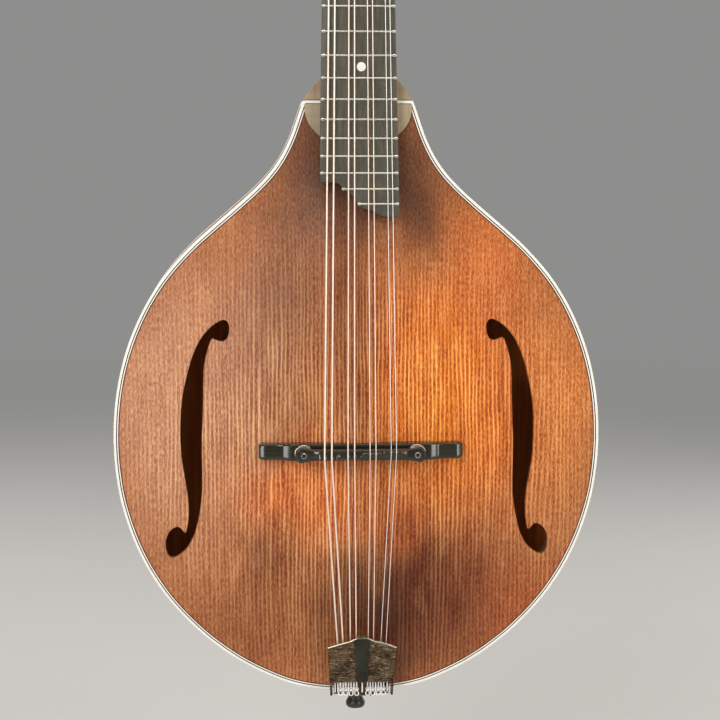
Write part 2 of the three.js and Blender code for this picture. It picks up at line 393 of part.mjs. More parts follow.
// ---------------------------------------------------------------- strings
const nutTop = FB_TOP + 1.4 - (SCALE - JOINT_U + 0.2) * NECK_SLOPE;
function stringPath(i) {
  const s = STRINGS[i], bass = i < 4, order = bass ? i : 7 - i, side = bass ? -1 : 1;
  const c = CROWN[Math.floor(i / 2)][2];
  const zs = SADDLE_Z1 + GAP + s.r, zn = nutTop + GAP + s.r;
  const end = new THREE.Vector3(side * (POST_V - WRAP_R - GAP - s.r), POST_S[order], 7.5).applyMatrix4(toHead);
  return [[s.hook, -163.4 + s.r, 8.9], [s.saddle, c, zs], [s.nut, SCALE + 0.6, zn], [s.nut + (end.x - s.nut) * 0.03, SCALE + 3.8, zn - 0.75], [end.x, end.y, end.z]];
}

// ---------------------------------------------------------------- assembly
const mat = (color, roughness, metalness = 0) => new THREE.MeshStandardMaterial({ color, roughness, metalness, side: THREE.FrontSide });
const M = {
  top: () => mat(0x9a5228, 0.45), maple: () => mat(0x7d4526, 0.45), neck: () => mat(0x8a6248, 0.5), inside: () => mat(0xc9a877, 0.8),
  ebony: () => mat(0x2b2724, 0.5), board: () => mat(0x3a3532, 0.6), ivory: () => mat(0xe6dcc4, 0.4), bone: () => mat(0xeee6d2, 0.4),
  nickel: () => mat(0x9c938a, 0.25, 1), steel: () => mat(0xb8b8b8, 0.3, 1), bronze: () => mat(0xb0764a, 0.35, 1), button: () => mat(0xe9e2cf, 0.3)
};
const root = new THREE.Group();
root.rotation.x = Math.PI / 2;
root.position.set(0, HANG_H, -SCALE);
const headGroup = new THREE.Group();
headGroup.position.set(0, HS_U0, HS_Z0);
headGroup.rotation.x = HS_A;
root.add(headGroup);
function put(name, g, m, parent = root) {
  if (g.getMesh) g = geo(g);
  g = outward(g);
  const mesh = new THREE.Mesh(g, m);
  mesh.name = name; parent.add(mesh); return mesh;
}
put('top_plate', topPlate, M.top());
put('back_plate', backPlate, M.maple());
put('rib_bass', ribBass, M.maple());
put('rib_treble', ribTreble, M.maple());
put('top_binding', topBinding, M.ivory());
put('back_binding', backBinding, M.ivory());
put('neck_block', neckBlock, M.inside());
put('tail_block', tailBlock, M.inside());
put('lining_top_bass', liningTop.intersect(keepLeft), M.inside());
put('lining_top_treble', liningTop.intersect(keepRight), M.inside());
put('lining_back_bass', liningBack.intersect(keepLeft), M.inside());
put('lining_back_treble', liningBack.intersect(keepRight), M.inside());
put('tone_bar_bass', toneBar(-24, 120, -36, -118, 6.5), M.inside());
put('tone_bar_treble', toneBar(27, 120, 24, -124, 6.5), M.inside());
put('neck', neckMan, M.neck());
put('truss_rod', trussRod, M.steel());
put('truss_rod_nut', trussNut, M.steel());
put('fingerboard', board, M.board());
put('fingerboard_riser', riser, M.neck());
put('nut', nutGeo, M.bone());
put('headstock_overlay', overlay, M.ebony(), headGroup);
put('truss_rod_cover', trussCover, M.ebony(), headGroup);
put('bridge_base', bridgeBase, M.ebony());
put('bridge_saddle', saddle, M.ebony());
['bass', 'treble'].forEach((n, i) => {
  put('bridge_post_' + n, bridgePost.clone(), M.nickel()).position.set(POST_X[i], 0, 0);
  put('thumbwheel_' + n, wheelGeo.clone(), M.nickel()).position.set(POST_X[i], 0, 0);
});
put('tailpiece_base', tailBase, M.nickel());
put('tailpiece_cover', tailCover, M.nickel());
put('end_pin', endPin, M.ebony());
['bass', 'treble'].forEach((n, i) => {
  const side = i ? 1 : -1;
  put('tuner_plate_' + n, tunerPlate(side), M.nickel(), headGroup);
  POST_S.forEach((s, k) => {
    put(`tuner_post_${n}_${k + 1}`, tunerPost(), M.nickel(), headGroup).position.set(side * POST_V, s, 0);
    put(`tuner_button_${n}_${k + 1}`, tunerButton(side), M.button(), headGroup).position.set(0, s + WORM_DS, WORM_N);
  });
});
STRINGS.forEach((s, i) => put(`string_${i + 1}`, wire(stringPath(i), s.r, 6), i < 6 ? M.bronze() : M.steel()));
export default root;
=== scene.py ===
import json, math
import bpy
import numpy as np
from mathutils import Matrix, Vector
from mathutils.geometry import delaunay_2d_cdt

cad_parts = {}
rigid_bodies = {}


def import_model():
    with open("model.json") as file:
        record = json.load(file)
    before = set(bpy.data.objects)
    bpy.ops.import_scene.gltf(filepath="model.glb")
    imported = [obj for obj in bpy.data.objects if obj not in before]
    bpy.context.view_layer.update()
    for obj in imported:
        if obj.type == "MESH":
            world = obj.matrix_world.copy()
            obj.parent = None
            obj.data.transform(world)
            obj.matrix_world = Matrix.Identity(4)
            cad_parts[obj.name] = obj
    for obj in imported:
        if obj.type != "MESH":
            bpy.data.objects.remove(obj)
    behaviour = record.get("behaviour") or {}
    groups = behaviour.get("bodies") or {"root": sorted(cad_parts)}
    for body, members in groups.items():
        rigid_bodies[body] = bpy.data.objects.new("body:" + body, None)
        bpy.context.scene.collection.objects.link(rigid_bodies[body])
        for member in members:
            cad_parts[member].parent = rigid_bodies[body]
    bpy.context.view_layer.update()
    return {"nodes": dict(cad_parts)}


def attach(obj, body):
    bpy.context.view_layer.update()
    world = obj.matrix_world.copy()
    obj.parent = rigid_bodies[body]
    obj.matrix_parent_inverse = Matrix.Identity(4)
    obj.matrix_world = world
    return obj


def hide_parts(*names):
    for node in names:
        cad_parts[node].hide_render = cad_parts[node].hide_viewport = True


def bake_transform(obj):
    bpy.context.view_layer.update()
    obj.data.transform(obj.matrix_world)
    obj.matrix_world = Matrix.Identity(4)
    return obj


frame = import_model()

# ------------------------------------------------------------------ dimensions (mm), as the CAD has them
SCALE, HANG_H, RIM_DEPTH = 578.0, -34.0, 54.0
BIND_H = 6.0
ARCH_TOP, ARCH_BACK = 13.5, 12.0
PLATE_EDGE, PLATE_MID = 5.0, 4.2
NECK_SLOPE, JOINT_U = 0.0925, 229.4
FB_TOP, FB_T = 10.0, 6.0
NUT_W, FB_FLARE = 37.5, 0.0345
HS_ANGLE, HS_T, HS_U0, OVERLAY_T = 14.0, 14.0, 582.9, 2.5
POST_V, POST_S = 23.0, [40, 63, 86, 109]
POST_R, WRAP_R, GEAR_R, TEETH, WORM_R, WORM_DS, WORM_N = 3.0, 4.1, 5.4, 14, 2.0, 7.8, -18.15
BSHIFT = 1.1
SZ0, SZ1 = 27.2, 35.6
POST_X = [-36.8, 37.3]
TX = 2.2
PIN_Z = -27.0

HALF = [(-168.6, 0), (-168.4, 9), (-167.8, 18.5), (-166.9, 27), (-165.4, 35.8), (-163.2, 44.4), (-160, 53.2),
        (-152, 70.3), (-144, 83.7), (-136, 94.7), (-128, 104.4), (-116, 116.5), (-104, 126.8), (-92, 135.2),
        (-80, 142.2), (-64, 149.5), (-48, 155.0), (-32, 159.0), (-16, 161.3), (-4, 162.2), (8, 162.4), (24, 161.6), (40, 159.5),
        (56, 156.0), (72, 150.9), (88, 144.0), (100, 137.5), (112, 129.6), (124, 119.8), (136, 108.2), (148, 94.7),
        (160, 80.7), (172, 67.4), (182, 58.0), (192, 51.0), (204, 45.0), (216, 40.6), (224, 37.9), (228.9, 36.0)]
F_HOLE = [(-89.3, 85.6), (-93.3, 83.7), (-97, 81), (-100.6, 77.3), (-104.1, 72.7), (-106.8, 67.7), (-109.3, 61.8), (-111.5, 55),
          (-114.1, 44.9), (-116.2, 35), (-117.3, 25.5), (-117.9, 15), (-117.9, 4.1), (-117.2, -7.1), (-115.4, -19), (-113.8, -29.7),
          (-113.0, -38), (-112.9, -45), (-113.8, -52), (-115.2, -57.6), (-117.2, -55.6), (-119.1, -53.6), (-121.3, -53.4),
          (-123.8, -54.7), (-126.0, -57), (-127.7, -60.4), (-128.6, -64.4), (-128.4, -69), (-127.2, -72.6), (-125.2, -74.6),
          (-122.6, -74.5), (-118.5, -72.1), (-114.2, -67.8), (-111.1, -62.5), (-109.2, -58.2), (-107.7, -53.2), (-106.2, -46.5),
          (-104.8, -38), (-103.9, -30), (-103.6, -22), (-103.6, -14), (-103.7, -4), (-103.6, 6), (-103.2, 17), (-102.8, 27),
          (-102.5, 36), (-102.4, 44), (-102.0, 52.9), (-101.1, 59), (-99.7, 64.8), (-98.2, 69.5), (-96.4, 73.2), (-94.2, 72.4),
          (-92.1, 71.7), (-89.6, 71.3), (-87.6, 72.2), (-86.1, 74.3), (-85.2, 77.5), (-85.0, 80.5), (-85.6, 83.4), (-87.2, 85.3)]
STR = [(0.58, -11.9, -23.5, -15.6), (0.58, -8.4, -18.85, -12.3), (0.44, -4.8, -8.35, -4.7), (0.44, -1.0, -4.0, -1.8),
       (0.32, 6.4, 6.05, 4.8), (0.32, 9.9, 9.9, 7.5), (0.22, 13.6, 19.8, 14.1), (0.22, 17.2, 23.25, 16.5)]
CROWN = [(-27, -15.2, -2.4), (-14.6, 0.6, -0.9), (1.2, 14, 0.7), (14.6, 27.4, 1.6)]
FRETS = [SCALE * 2 ** (-(i + 1) / 12) for i in range(22)]

# ------------------------------------------------------------------ coordinates
def W(p):
    x, y, z = p
    return (x / 1000.0, (-z + HANG_H) / 1000.0, (y - SCALE) / 1000.0)
HS_A = -(math.atan(NECK_SLOPE) + math.radians(HS_ANGLE))
CA, SA = math.cos(HS_A), math.sin(HS_A)
HS_Z0 = FB_TOP - FB_T - 0.3 - (HS_U0 - JOINT_U) * NECK_SLOPE
def HS(p):
    x, s, n = p
    return W((x, HS_U0 + s * CA - n * SA, HS_Z0 + s * SA + n * CA))
def hs_inst(p):
    x, s, n = p
    return (x, HS_U0 + s * CA - n * SA, HS_Z0 + s * SA + n * CA)
def TILT(p):
    x, y, z = p
    return W((x, y, z - NECK_SLOPE * (y - JOINT_U)))
def tilt_inst(p):
    x, y, z = p
    return (x, y, z - NECK_SLOPE * (y - JOINT_U))
board_half = lambda u: (NUT_W + (SCALE - u) * FB_FLARE) / 2

# ------------------------------------------------------------------ mesh helpers
MATS = {}
PIECES = []
def make(name, verts, faces, mat, body="root", conv=W, repl=(), smooth=True, angle=38, ride=True):
    me = bpy.data.meshes.new(name)
    me.from_pydata([conv(v) for v in verts], [], [tuple(int(i) for i in f) for f in faces])
    me.validate()
    me.update()
    o = bpy.data.objects.new(name, me)
    bpy.context.scene.collection.objects.link(o)
    me.materials.append(mat)
    if smooth:
        me.shade_smooth()
        me.set_sharp_from_angle(angle=math.radians(angle))
    import bmesh
    bm = bmesh.new(); bm.from_mesh(me)
    bmesh.ops.remove_doubles(bm, verts=bm.verts, dist=1e-7)
    bmesh.ops.recalc_face_normals(bm, faces=bm.faces)
    bm.to_mesh(me); bm.free()
    if ride:
        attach(o, body)
    if repl:
        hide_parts(*repl)
    PIECES.append(o)
    return o

def cr(pts, n, closed=False, alpha=0.5):
    """Even points on a centripetal Catmull-Rom curve."""
    P = [np.array(p, float) for p in pts]
    if closed:
        P = [P[-1]] + P + [P[0], P[1]]
    else:
        P = [2 * P[0] - P[1]] + P + [2 * P[-1] - P[-2]]
    out = []
    for i in range(1, len(P) - 2):
        p0, p1, p2, p3 = P[i - 1:i + 3]
        t0 = 0.0
        t1 = t0 + max(1e-6, np.linalg.norm(p1 - p0)) ** alpha
        t2 = t1 + max(1e-6, np.linalg.norm(p2 - p1)) ** alpha
        t3 = t2 + max(1e-6, np.linalg.norm(p3 - p2)) ** alpha
        for t in np.linspace(t1, t2, 14, endpoint=False):
            a1 = (t1 - t) / (t1 - t0) * p0 + (t - t0) / (t1 - t0) * p1
            a2 = (t2 - t) / (t2 - t1) * p1 + (t - t1) / (t2 - t1) * p2
            a3 = (t3 - t) / (t3 - t2) * p2 + (t - t2) / (t3 - t2) * p3
            b1 = (t2 - t) / (t2 - t0) * a1 + (t - t0) / (t2 - t0) * a2
            b2 = (t3 - t) / (t3 - t1) * a2 + (t - t1) / (t3 - t1) * a3
            out.append((t2 - t) / (t2 - t1) * b1 + (t - t1) / (t2 - t1) * b2)
    out.append(P[-2] if not closed else P[1])
    out = np.array(out)
    d = np.concatenate([[0], np.cumsum(np.linalg.norm(np.diff(out, axis=0), axis=1))])
    s = np.linspace(0, d[-1], n + (1 if closed else 0))
    res = np.stack([np.interp(s, d, out[:, k]) for k in range(out.shape[1])], 1)
    return res[:-1] if closed else res

def offset(poly, d):
    """Miter offset of a closed polygon; positive d goes inward for an anticlockwise one."""
    P = np.array(poly, float)
    a, c = np.roll(P, 1, 0), np.roll(P, -1, 0)
    e1, e2 = P - a, c - P
    e1 /= np.linalg.norm(e1, axis=1)[:, None]; e2 /= np.linalg.norm(e2, axis=1)[:, None]
    n1, n2 = np.stack([-e1[:, 1], e1[:, 0]], 1), np.stack([-e2[:, 1], e2[:, 0]], 1)
    k = d / np.maximum(0.35, 1 + (n1 * n2).sum(1))
    return P + (n1 + n2) * k[:, None]

def ccw(poly):
    P = np.array(poly, float)
    x, y = P[:, 0], P[:, 1]
    return P if (x * np.roll(y, -1) - y * np.roll(x, -1)).sum() > 0 else P[::-1]

def loft(rings, cap0=True, cap1=True, closed=True):
    n = len(rings[0]); V = [tuple(p) for r in rings for p in r]; F = []
    for k in range(len(rings) - 1):
        for i in range(n if closed else n - 1):
            j = (i + 1) % n
            F.append((k * n + i, k * n + j, (k + 1) * n + j, (k + 1) * n + i))
    if cap0:
        F.append(tuple(range(n))[::-1])
    if cap1:
        F.append(tuple((len(rings) - 1) * n + i for i in range(n)))
    return V, F

def slab(poly, z0, z1, r=0.4, seg=3, bottom=True, top=True):
    """Plate of an outline with rounded edges."""
    P = ccw(poly); rings = []
    if bottom:
        for k in range(seg + 1):
            a = math.pi / 2 * k / seg
            rings.append([(x, y, z0 + r - r * math.cos(a)) for x, y in offset(P, r - r * math.sin(a))])
    else:
        rings.append([(x, y, z0) for x, y in P])
    if top:
        for k in range(seg + 1):
            a = math.pi / 2 * k / seg
            rings.append([(x, y, z1 - r + r * math.sin(a)) for x, y in offset(P, r - r * math.cos(a))])
    else:
        rings.append([(x, y, z1) for x, y in P])
    return loft(rings)

def tube(pts, r, sides=10, caps=True, ref=(1, 0, 0)):
    P = np.array(pts, float); rings = []
    T = np.gradient(P, axis=0); T /= np.linalg.norm(T, axis=1)[:, None]
    a = np.array(ref, float); a -= T[0] * a.dot(T[0])
    if np.linalg.norm(a) < 1e-3:
        a = np.array([0, 1.0, 0]) - T[0] * T[0][1]
    rr = r if hasattr(r, "__len__") else [r] * len(P)
    for i in range(len(P)):
        a = a - T[i] * a.dot(T[i]); a /= np.linalg.norm(a); b = np.cross(T[i], a)
        rings.append([tuple(P[i] + rr[i] * (math.cos(w) * a + math.sin(w) * b)) for w in np.arange(sides) * 2 * math.pi / sides])
    return loft(rings, caps, caps)

def lathe(prof, seg=40, axis="z", at=(0, 0, 0)):
    """Turned piece: (radius, height) profile; the ends on the axis become points."""
    V, F, rows = [], [], []
    def put(r, h, w):
        x, y = r * math.cos(w), r * math.sin(w)
        p = {"z": (x, y, h), "x": (h, x, y), "y": (y, h, x)}[axis]
        V.append((p[0] + at[0], p[1] + at[1], p[2] + at[2])); return len(V) - 1
    for r, h in prof:
        rows.append([put(0, h, 0)] if r < 1e-6 else [put(r, h, 2 * math.pi * k / seg) for k in range(seg)])
    for A, B in zip(rows, rows[1:]):
        for k in range(seg):
            j = (k + 1) % seg
            if len(A) == 1 and len(B) == 1: continue
            if len(A) == 1: F.append((A[0], B[j], B[k]))
            elif len(B) == 1: F.append((A[k], A[j], B[0]))
            else: F.append((A[k], A[j], B[j], B[k]))
    if len(rows[0]) > 1 and len(rows[-1]) > 1 and prof[0] == prof[-1]:
        pass
    return V, F

def merge(*parts):
    V, F = [], []
    for v, f in parts:
        b = len(V); V += list(v); F += [tuple(i + b for i in q) for q in f]
    return V, F

def box(x0, x1, y0, y1, z0, z1, r=0.3):
    return slab([(x0, y0), (x1, y0), (x1, y1), (x0, y1)], z0, z1, r=min(r, (z1 - z0) / 2.05), seg=2)

# ------------------------------------------------------------------ procedural materials
class Mat:
    """Small wrapper that builds a node tree around one Principled shader."""
    def __init__(self, name, rough=0.5, metal=0.0, coat=0.0, coat_rough=0.2, spec=0.5, sheen=0.0):
        self.m = bpy.data.materials.new(name); self.m.use_nodes = True
        self.t = self.m.node_tree; self.t.nodes.clear()
        self.bsdf = self.t.nodes.new("ShaderNodeBsdfPrincipled")
        self.out = self.t.nodes.new("ShaderNodeOutputMaterial")
        self.t.links.new(self.bsdf.outputs[0], self.out.inputs[0])
        b = self.bsdf.inputs
        b["Roughness"].default_value = rough; b["Metallic"].default_value = metal
        b["Coat Weight"].default_value = coat; b["Coat Roughness"].default_value = coat_rough
        b["Specular IOR Level"].default_value = spec
        self.co = self.t.nodes.new("ShaderNodeTexCoord").outputs["Object"]
    def link(self, a, b): self.t.links.new(a, b)
    def _set(self, sock, v):
        if hasattr(v, "links") or isinstance(v, bpy.types.NodeSocket): self.link(v, sock)
        else: sock.default_value = v
    def map(self, scale, loc=(0, 0, 0), src=None, rot=(0, 0, 0)):
        n = self.t.nodes.new("ShaderNodeMapping"); n.inputs["Scale"].default_value = scale; n.inputs["Location"].default_value = loc
        n.inputs["Rotation"].default_value = rot
        self.link(src or self.co, n.inputs["Vector"]); return n.outputs[0]
    def noise(self, vec, scale=1.0, detail=3.0, rough=0.5, dist=0.0, color=False):
        n = self.t.nodes.new("ShaderNodeTexNoise"); self.link(vec, n.inputs["Vector"])
        n.inputs["Scale"].default_value = scale; n.inputs["Detail"].default_value = detail
        n.inputs["Roughness"].default_value = rough; n.inputs["Distortion"].default_value = dist
        return n.outputs["Color" if color else "Fac"]
    def wave(self, vec, scale, dist=0.0, detail=2.0, dscale=1.0, direction="X", profile="SIN"):
        n = self.t.nodes.new("ShaderNodeTexWave"); self.link(vec, n.inputs["Vector"]); n.bands_direction = direction; n.wave_profile = profile
        n.inputs["Scale"].default_value = scale; n.inputs["Distortion"].default_value = dist
        n.inputs["Detail"].default_value = detail; n.inputs["Detail Scale"].default_value = dscale
        return n.outputs["Fac"]
    def ramp(self, fac, stops, interp="LINEAR"):
        n = self.t.nodes.new("ShaderNodeValToRGB"); e = n.color_ramp.elements; n.color_ramp.interpolation = interp
        while len(e) > 1: e.remove(e[0])
        e[0].position = stops[0][0]; c = stops[0][1]; e[0].color = (*c, 1) if len(c) == 3 else c
        for p, c in stops[1:]:
            k = e.new(p); k.color = (*c, 1) if len(c) == 3 else c
        self._set(n.inputs[0], fac); return n.outputs[0]
    def rng(self, v, a, b, c=0.0, d=1.0, smooth=False):
        n = self.t.nodes.new("ShaderNodeMapRange"); self.link(v, n.inputs[0])
        if smooth: n.interpolation_type = "SMOOTHSTEP"
        for i, x in zip((1, 2, 3, 4), (a, b, c, d)): n.inputs[i].default_value = x
        return n.outputs[0]
    def math(self, op, a, b=0.0, c=None, clamp=False):
        n = self.t.nodes.new("ShaderNodeMath"); n.operation = op; n.use_clamp = clamp
        self._set(n.inputs[0], a); self._set(n.inputs[1], b)
        if c is not None: self._set(n.inputs[2], c)
        return n.outputs[0]
    def mix(self, fac, a, b, mode="MIX"):
        n = self.t.nodes.new("ShaderNodeMix"); n.data_type = "RGBA"; n.blend_type = mode; n.clamp_factor = True
        self._set(n.inputs[0], fac)
        self._set(n.inputs[6], a if not isinstance(a, tuple) or len(a) == 4 else (*a, 1))
        self._set(n.inputs[7], b if not isinstance(b, tuple) or len(b) == 4 else (*b, 1))
        return n.outputs[2]
    def xyz(self, vec=None):
        n = self.t.nodes.new("ShaderNodeSeparateXYZ"); self.link(vec or self.co, n.inputs[0]); return n.outputs
    def combine(self, x, y, z):
        n = self.t.nodes.new("ShaderNodeCombineXYZ")
        for s, v in zip(n.inputs, (x, y, z)): self._set(s, v)
        return n.outputs[0]
    def vadd(self, a, b):
        n = self.t.nodes.new("ShaderNodeVectorMath"); n.operation = "ADD"; self._set(n.inputs[0], a); self._set(n.inputs[1], b); return n.outputs[0]
    def blob(self, vec, cx, cz, rx, rz):
        """1 at a point of the front, falling smoothly to 0 at rx across and rz along; cx and cz in instrument millimetres."""
        n = self.t.nodes.new("ShaderNodeVectorMath"); n.operation = "SUBTRACT"; self.link(vec, n.inputs[0])
        n.inputs[1].default_value = (cx / 1000, 0, (cz - SCALE) / 1000)
        m = self.t.nodes.new("ShaderNodeVectorMath"); m.operation = "MULTIPLY"; self.link(n.outputs[0], m.inputs[0])
        m.inputs[1].default_value = (1000 / rx, 0, 1000 / rz)
        l = self.t.nodes.new("ShaderNodeVectorMath"); l.operation = "LENGTH"; self.link(m.outputs[0], l.inputs[0])
        return self.rng(l.outputs["Value"], 0.0, 1.0, 1.0, 0.0, smooth=True)
    def bump(self, h, strength=0.3, dist=0.0003, prev=None):
        n = self.t.nodes.new("ShaderNodeBump"); n.inputs["Strength"].default_value = strength; n.inputs["Distance"].default_value = dist
        self.link(h, n.inputs["Height"])
        if prev is not None: self.link(prev, n.inputs["Normal"])
        return n.outputs[0]
    def done(self, color=None, rough=None, normal=None):
        b = self.bsdf.inputs
        if color is not None: self._set(b["Base Color"], color if not isinstance(color, tuple) or len(color) == 4 else (*color, 1))
        if rough is not None: self._set(b["Roughness"], rough)
        if normal is not None:
            self.link(normal, b["Normal"])
        return self.m

def lin(*c):
    """sRGB 0-255 to linear."""
    return tuple((x / 255 / 12.92) if x / 255 <= 0.04045 else ((x / 255 + 0.055) / 1.055) ** 2.4 for x in c)

def mat_spruce():
    m = Mat("spruce_top", rough=0.4, coat=0.06, coat_rough=0.3)
    warp = m.noise(m.map((7, 1, 6)), 1.0, 4, 0.6, color=True)
    wv = m.t.nodes.new("ShaderNodeVectorMath"); wv.operation = "MULTIPLY_ADD"; m.link(warp, wv.inputs[0])
    wv.inputs[1].default_value = (0.07, 0, 0.10); wv.inputs[2].default_value = (-0.035, 0, -0.05)
    pos = m.vadd(m.co, wv.outputs[0])
    # sunburst: tan-brown field, amber burst on the treble side of the bridge, darker neck end, centre line, tail end
    # and rim; pale pinkish bass-side layers are painted sheen, a dark patch right of the fingerboard's end is a painted
    # shadow, and the darker tail end is partly stain, partly painted shade of the light falling off
    field = m.mix(m.noise(m.map((16, 1, 10)), 1.0, 5, 0.65), lin(151, 88, 50), lin(185, 117, 71))
    def lay(base, f, cx, cz, rx, rz, col, k=1.0):
        return m.mix(m.math("MULTIPLY", m.blob(pos, cx, cz, rx, rz), f), base, lin(*col))
    base = field
    base = lay(base, 0.92, 66, 40, 112, 170, (198, 98, 12))
    base = lay(base, 0.85, 50, 30, 56, 100, (224, 116, 4))
    base = lay(base, 0.8, -40, -34, 74, 50, (222, 112, 42))
    # painted sheen: these three pale, pinkish layers on the bass side stand in for the key light's reflection
    base = lay(base, 0.5, -58, 60, 46, 120, (150, 98, 68))
    base = lay(base, 0.45, -44, 140, 44, 50, (160, 104, 76))
    base = lay(base, 0.76, -124, 26, 78, 128, (198, 137, 102))
    base = lay(base, 0.6, -8, 110, 30, 110, (104, 58, 38))
    base = lay(base, 0.9, 4, 186, 112, 90, (66, 40, 32))
    base = lay(base, 0.55, -30, 160, 44, 58, (82, 56, 48))
    # painted shadow: dark patch right of the fingerboard's end, where the board casts its shade
    base = lay(base, 0.6, 36, 156, 20, 50, (58, 34, 24))
    base = lay(base, 0.7, 82, 128, 48, 66, (200, 106, 50))
    base = lay(base, 0.7, 132, 24, 40, 120, (208, 124, 60))
    # darker toward the tail end: partly the stain, partly painted shade where the light falls off toward the bottom
    base = lay(base, 0.95, 20, -108, 62, 84, (62, 22, 6))
    base = lay(base, 0.75, 66, -112, 70, 84, (92, 32, 8))
    base = lay(base, 0.6, 116, -124, 52, 60, (150, 66, 26))
    base = lay(base, 0.55, -84, -134, 96, 62, (112, 48, 24))
    # painted sheen: one more pale, pinkish layer on the bass side for the key light's reflection
    base = lay(base, 0.5, -72, 8, 36, 44, (200, 134, 92))
    base = lay(base, 0.5, -2, 26, 20, 60, (112, 58, 32))
    # partly stain, partly painted shade toward the bottom, as at the tail end
    base = lay(base, 0.45, -64, -86, 34, 44, (98, 42, 22))
    base = lay(base, 0.45, -50, 100, 40, 44, (100, 60, 42))
    # the same mix of stain and painted shade, low on the treble side
    base = lay(base, 0.5, 34, -82, 28, 34, (88, 30, 6))
    base = lay(base, 0.35, 26, -50, 26, 34, (170, 70, 14))
    # cloudy hand-rubbed stain
    cloud = m.noise(m.map((34, 1, 24)), 1.0, 5, 0.65, 0.4)
    base = m.mix(m.rng(cloud, 0.56, 0.74, 0.0, 0.34), base, m.mix(0.6, base, lin(74, 32, 16)))
    base = m.mix(m.rng(cloud, 0.44, 0.28, 0.0, 0.26), base, m.mix(0.45, base, lin(250, 180, 120)))
    rr, gg, bb_ = m.xyz(base)[:3]
    pale = m.combine(m.math("MULTIPLY", rr, 1.7, clamp=True), m.math("ADD", m.math("MULTIPLY", gg, 1.75), m.math("MULTIPLY", rr, 0.26)), m.math("ADD", m.math("MULTIPLY", bb_, 1.6), m.math("MULTIPLY", rr, 0.17)))
    deep = m.combine(m.math("MULTIPLY", rr, 0.42), m.math("MULTIPLY", gg, 0.2), m.math("MULTIPLY", bb_, 0.12))
    # growth rings: hard bright lines that waver, wider apart away from the centre seam
    ax = m.math("ABSOLUTE", m.xyz()[0])
    w1 = m.noise(m.map((34, 1, 7)), 1.0, 3, 0.5); w2 = m.noise(m.map((170, 1, 90)), 1.0, 2, 0.55)
    dx = m.math("ADD", m.math("MULTIPLY", m.math("SUBTRACT", w1, 0.5), 0.009), m.math("MULTIPLY", m.math("SUBTRACT", w2, 0.5), 0.0009))
    gx = m.math("ADD", m.math("POWER", ax, 0.94), dx)
    gpos = m.combine(gx, 0.0, m.xyz()[2])
    ring = m.wave(gpos, 104.0, 0.0, 0, 1.0)
    vary = m.noise(m.map((150, 1, 10)), 1.0, 3, 0.6)
    wide = m.noise(m.map((26, 1, 14)), 1.0, 3, 0.6)
    calm = m.math("MULTIPLY", m.rng(m.blob(pos, 6, -20, 190, 215), 0.0, 0.6, 0.22, 1.0), m.rng(m.blob(pos, 4, 190, 120, 110), 0.0, 0.8, 1.0, 0.3))
    amp = m.math("MULTIPLY", m.math("MULTIPLY", m.rng(vary, 0.38, 0.6, 0.12, 1.0), m.rng(wide, 0.36, 0.62, 0.4, 1.0)), calm)
    hard = m.math("MULTIPLY", m.rng(ring, 0.66, 0.9, 0.0, 1.0, smooth=True), amp)
    soft = m.math("MULTIPLY", m.rng(ring, 0.5, 0.05, 0.0, 1.0, smooth=True), m.rng(vary, 0.3, 0.7, 1.0, 0.35))
    streak = m.noise(m.map((330, 1, 34)), 1.0, 3, 0.62)
    col = m.mix(m.math("MULTIPLY", m.rng(streak, 0.49, 0.36, 0.0, 0.75), calm), base, deep)
    col = m.mix(m.math("MULTIPLY", m.rng(streak, 0.52, 0.66, 0.0, 0.6), calm), col, pale)
    col = m.mix(m.math("MULTIPLY", m.math("MULTIPLY", soft, calm), 0.9), col, deep)
    # pebbled fibre between the rings, pores and long dark flecks
    peb = m.noise(m.map((1150, 1, 330)), 1.0, 3, 0.7)
    col = m.mix(m.rng(peb, 0.51, 0.62, 0.0, 0.42), col, pale)
    col = m.mix(m.rng(peb, 0.49, 0.38, 0.0, 0.6), col, deep)
    fine = m.noise(m.map((3000, 1, 130)), 1.0, 2, 0.6)
    col = m.mix(m.rng(fine, 0.46, 0.75, 0.0, 0.4), col, deep)
    col = m.mix(hard, col, pale)
    fleck = m.noise(m.map((900, 1, 34)), 1.0, 2, 0.5)
    col = m.mix(m.rng(fleck, 0.68, 0.8, 0.0, 0.7), col, deep)
    seam = m.rng(ax, 0.0, 0.00035, 0.5, 0.0)
    col = m.mix(seam, col, lin(60, 28, 16))
    rough = m.math("ADD", m.rng(m.noise(m.map((90, 90, 30)), 1.0, 4, 0.6), 0.3, 0.7, 0.34, 0.48), m.math("MULTIPLY", hard, -0.05))
    # the rubbed finish is shinier toward the bass edge
    m.link(m.rng(m.blob(pos, -128, 46, 120, 200), 0.0, 0.9, 0.2, 0.75), m.bsdf.inputs["Specular IOR Level"])
    h = m.math("ADD", m.math("MULTIPLY", hard, 0.6), m.math("ADD", m.math("MULTIPLY", peb, 0.5), m.math("MULTIPLY", fine, 0.35)))
    nrm = m.bump(h, 0.5, 0.00018)
    return m.done(col, rough, nrm)

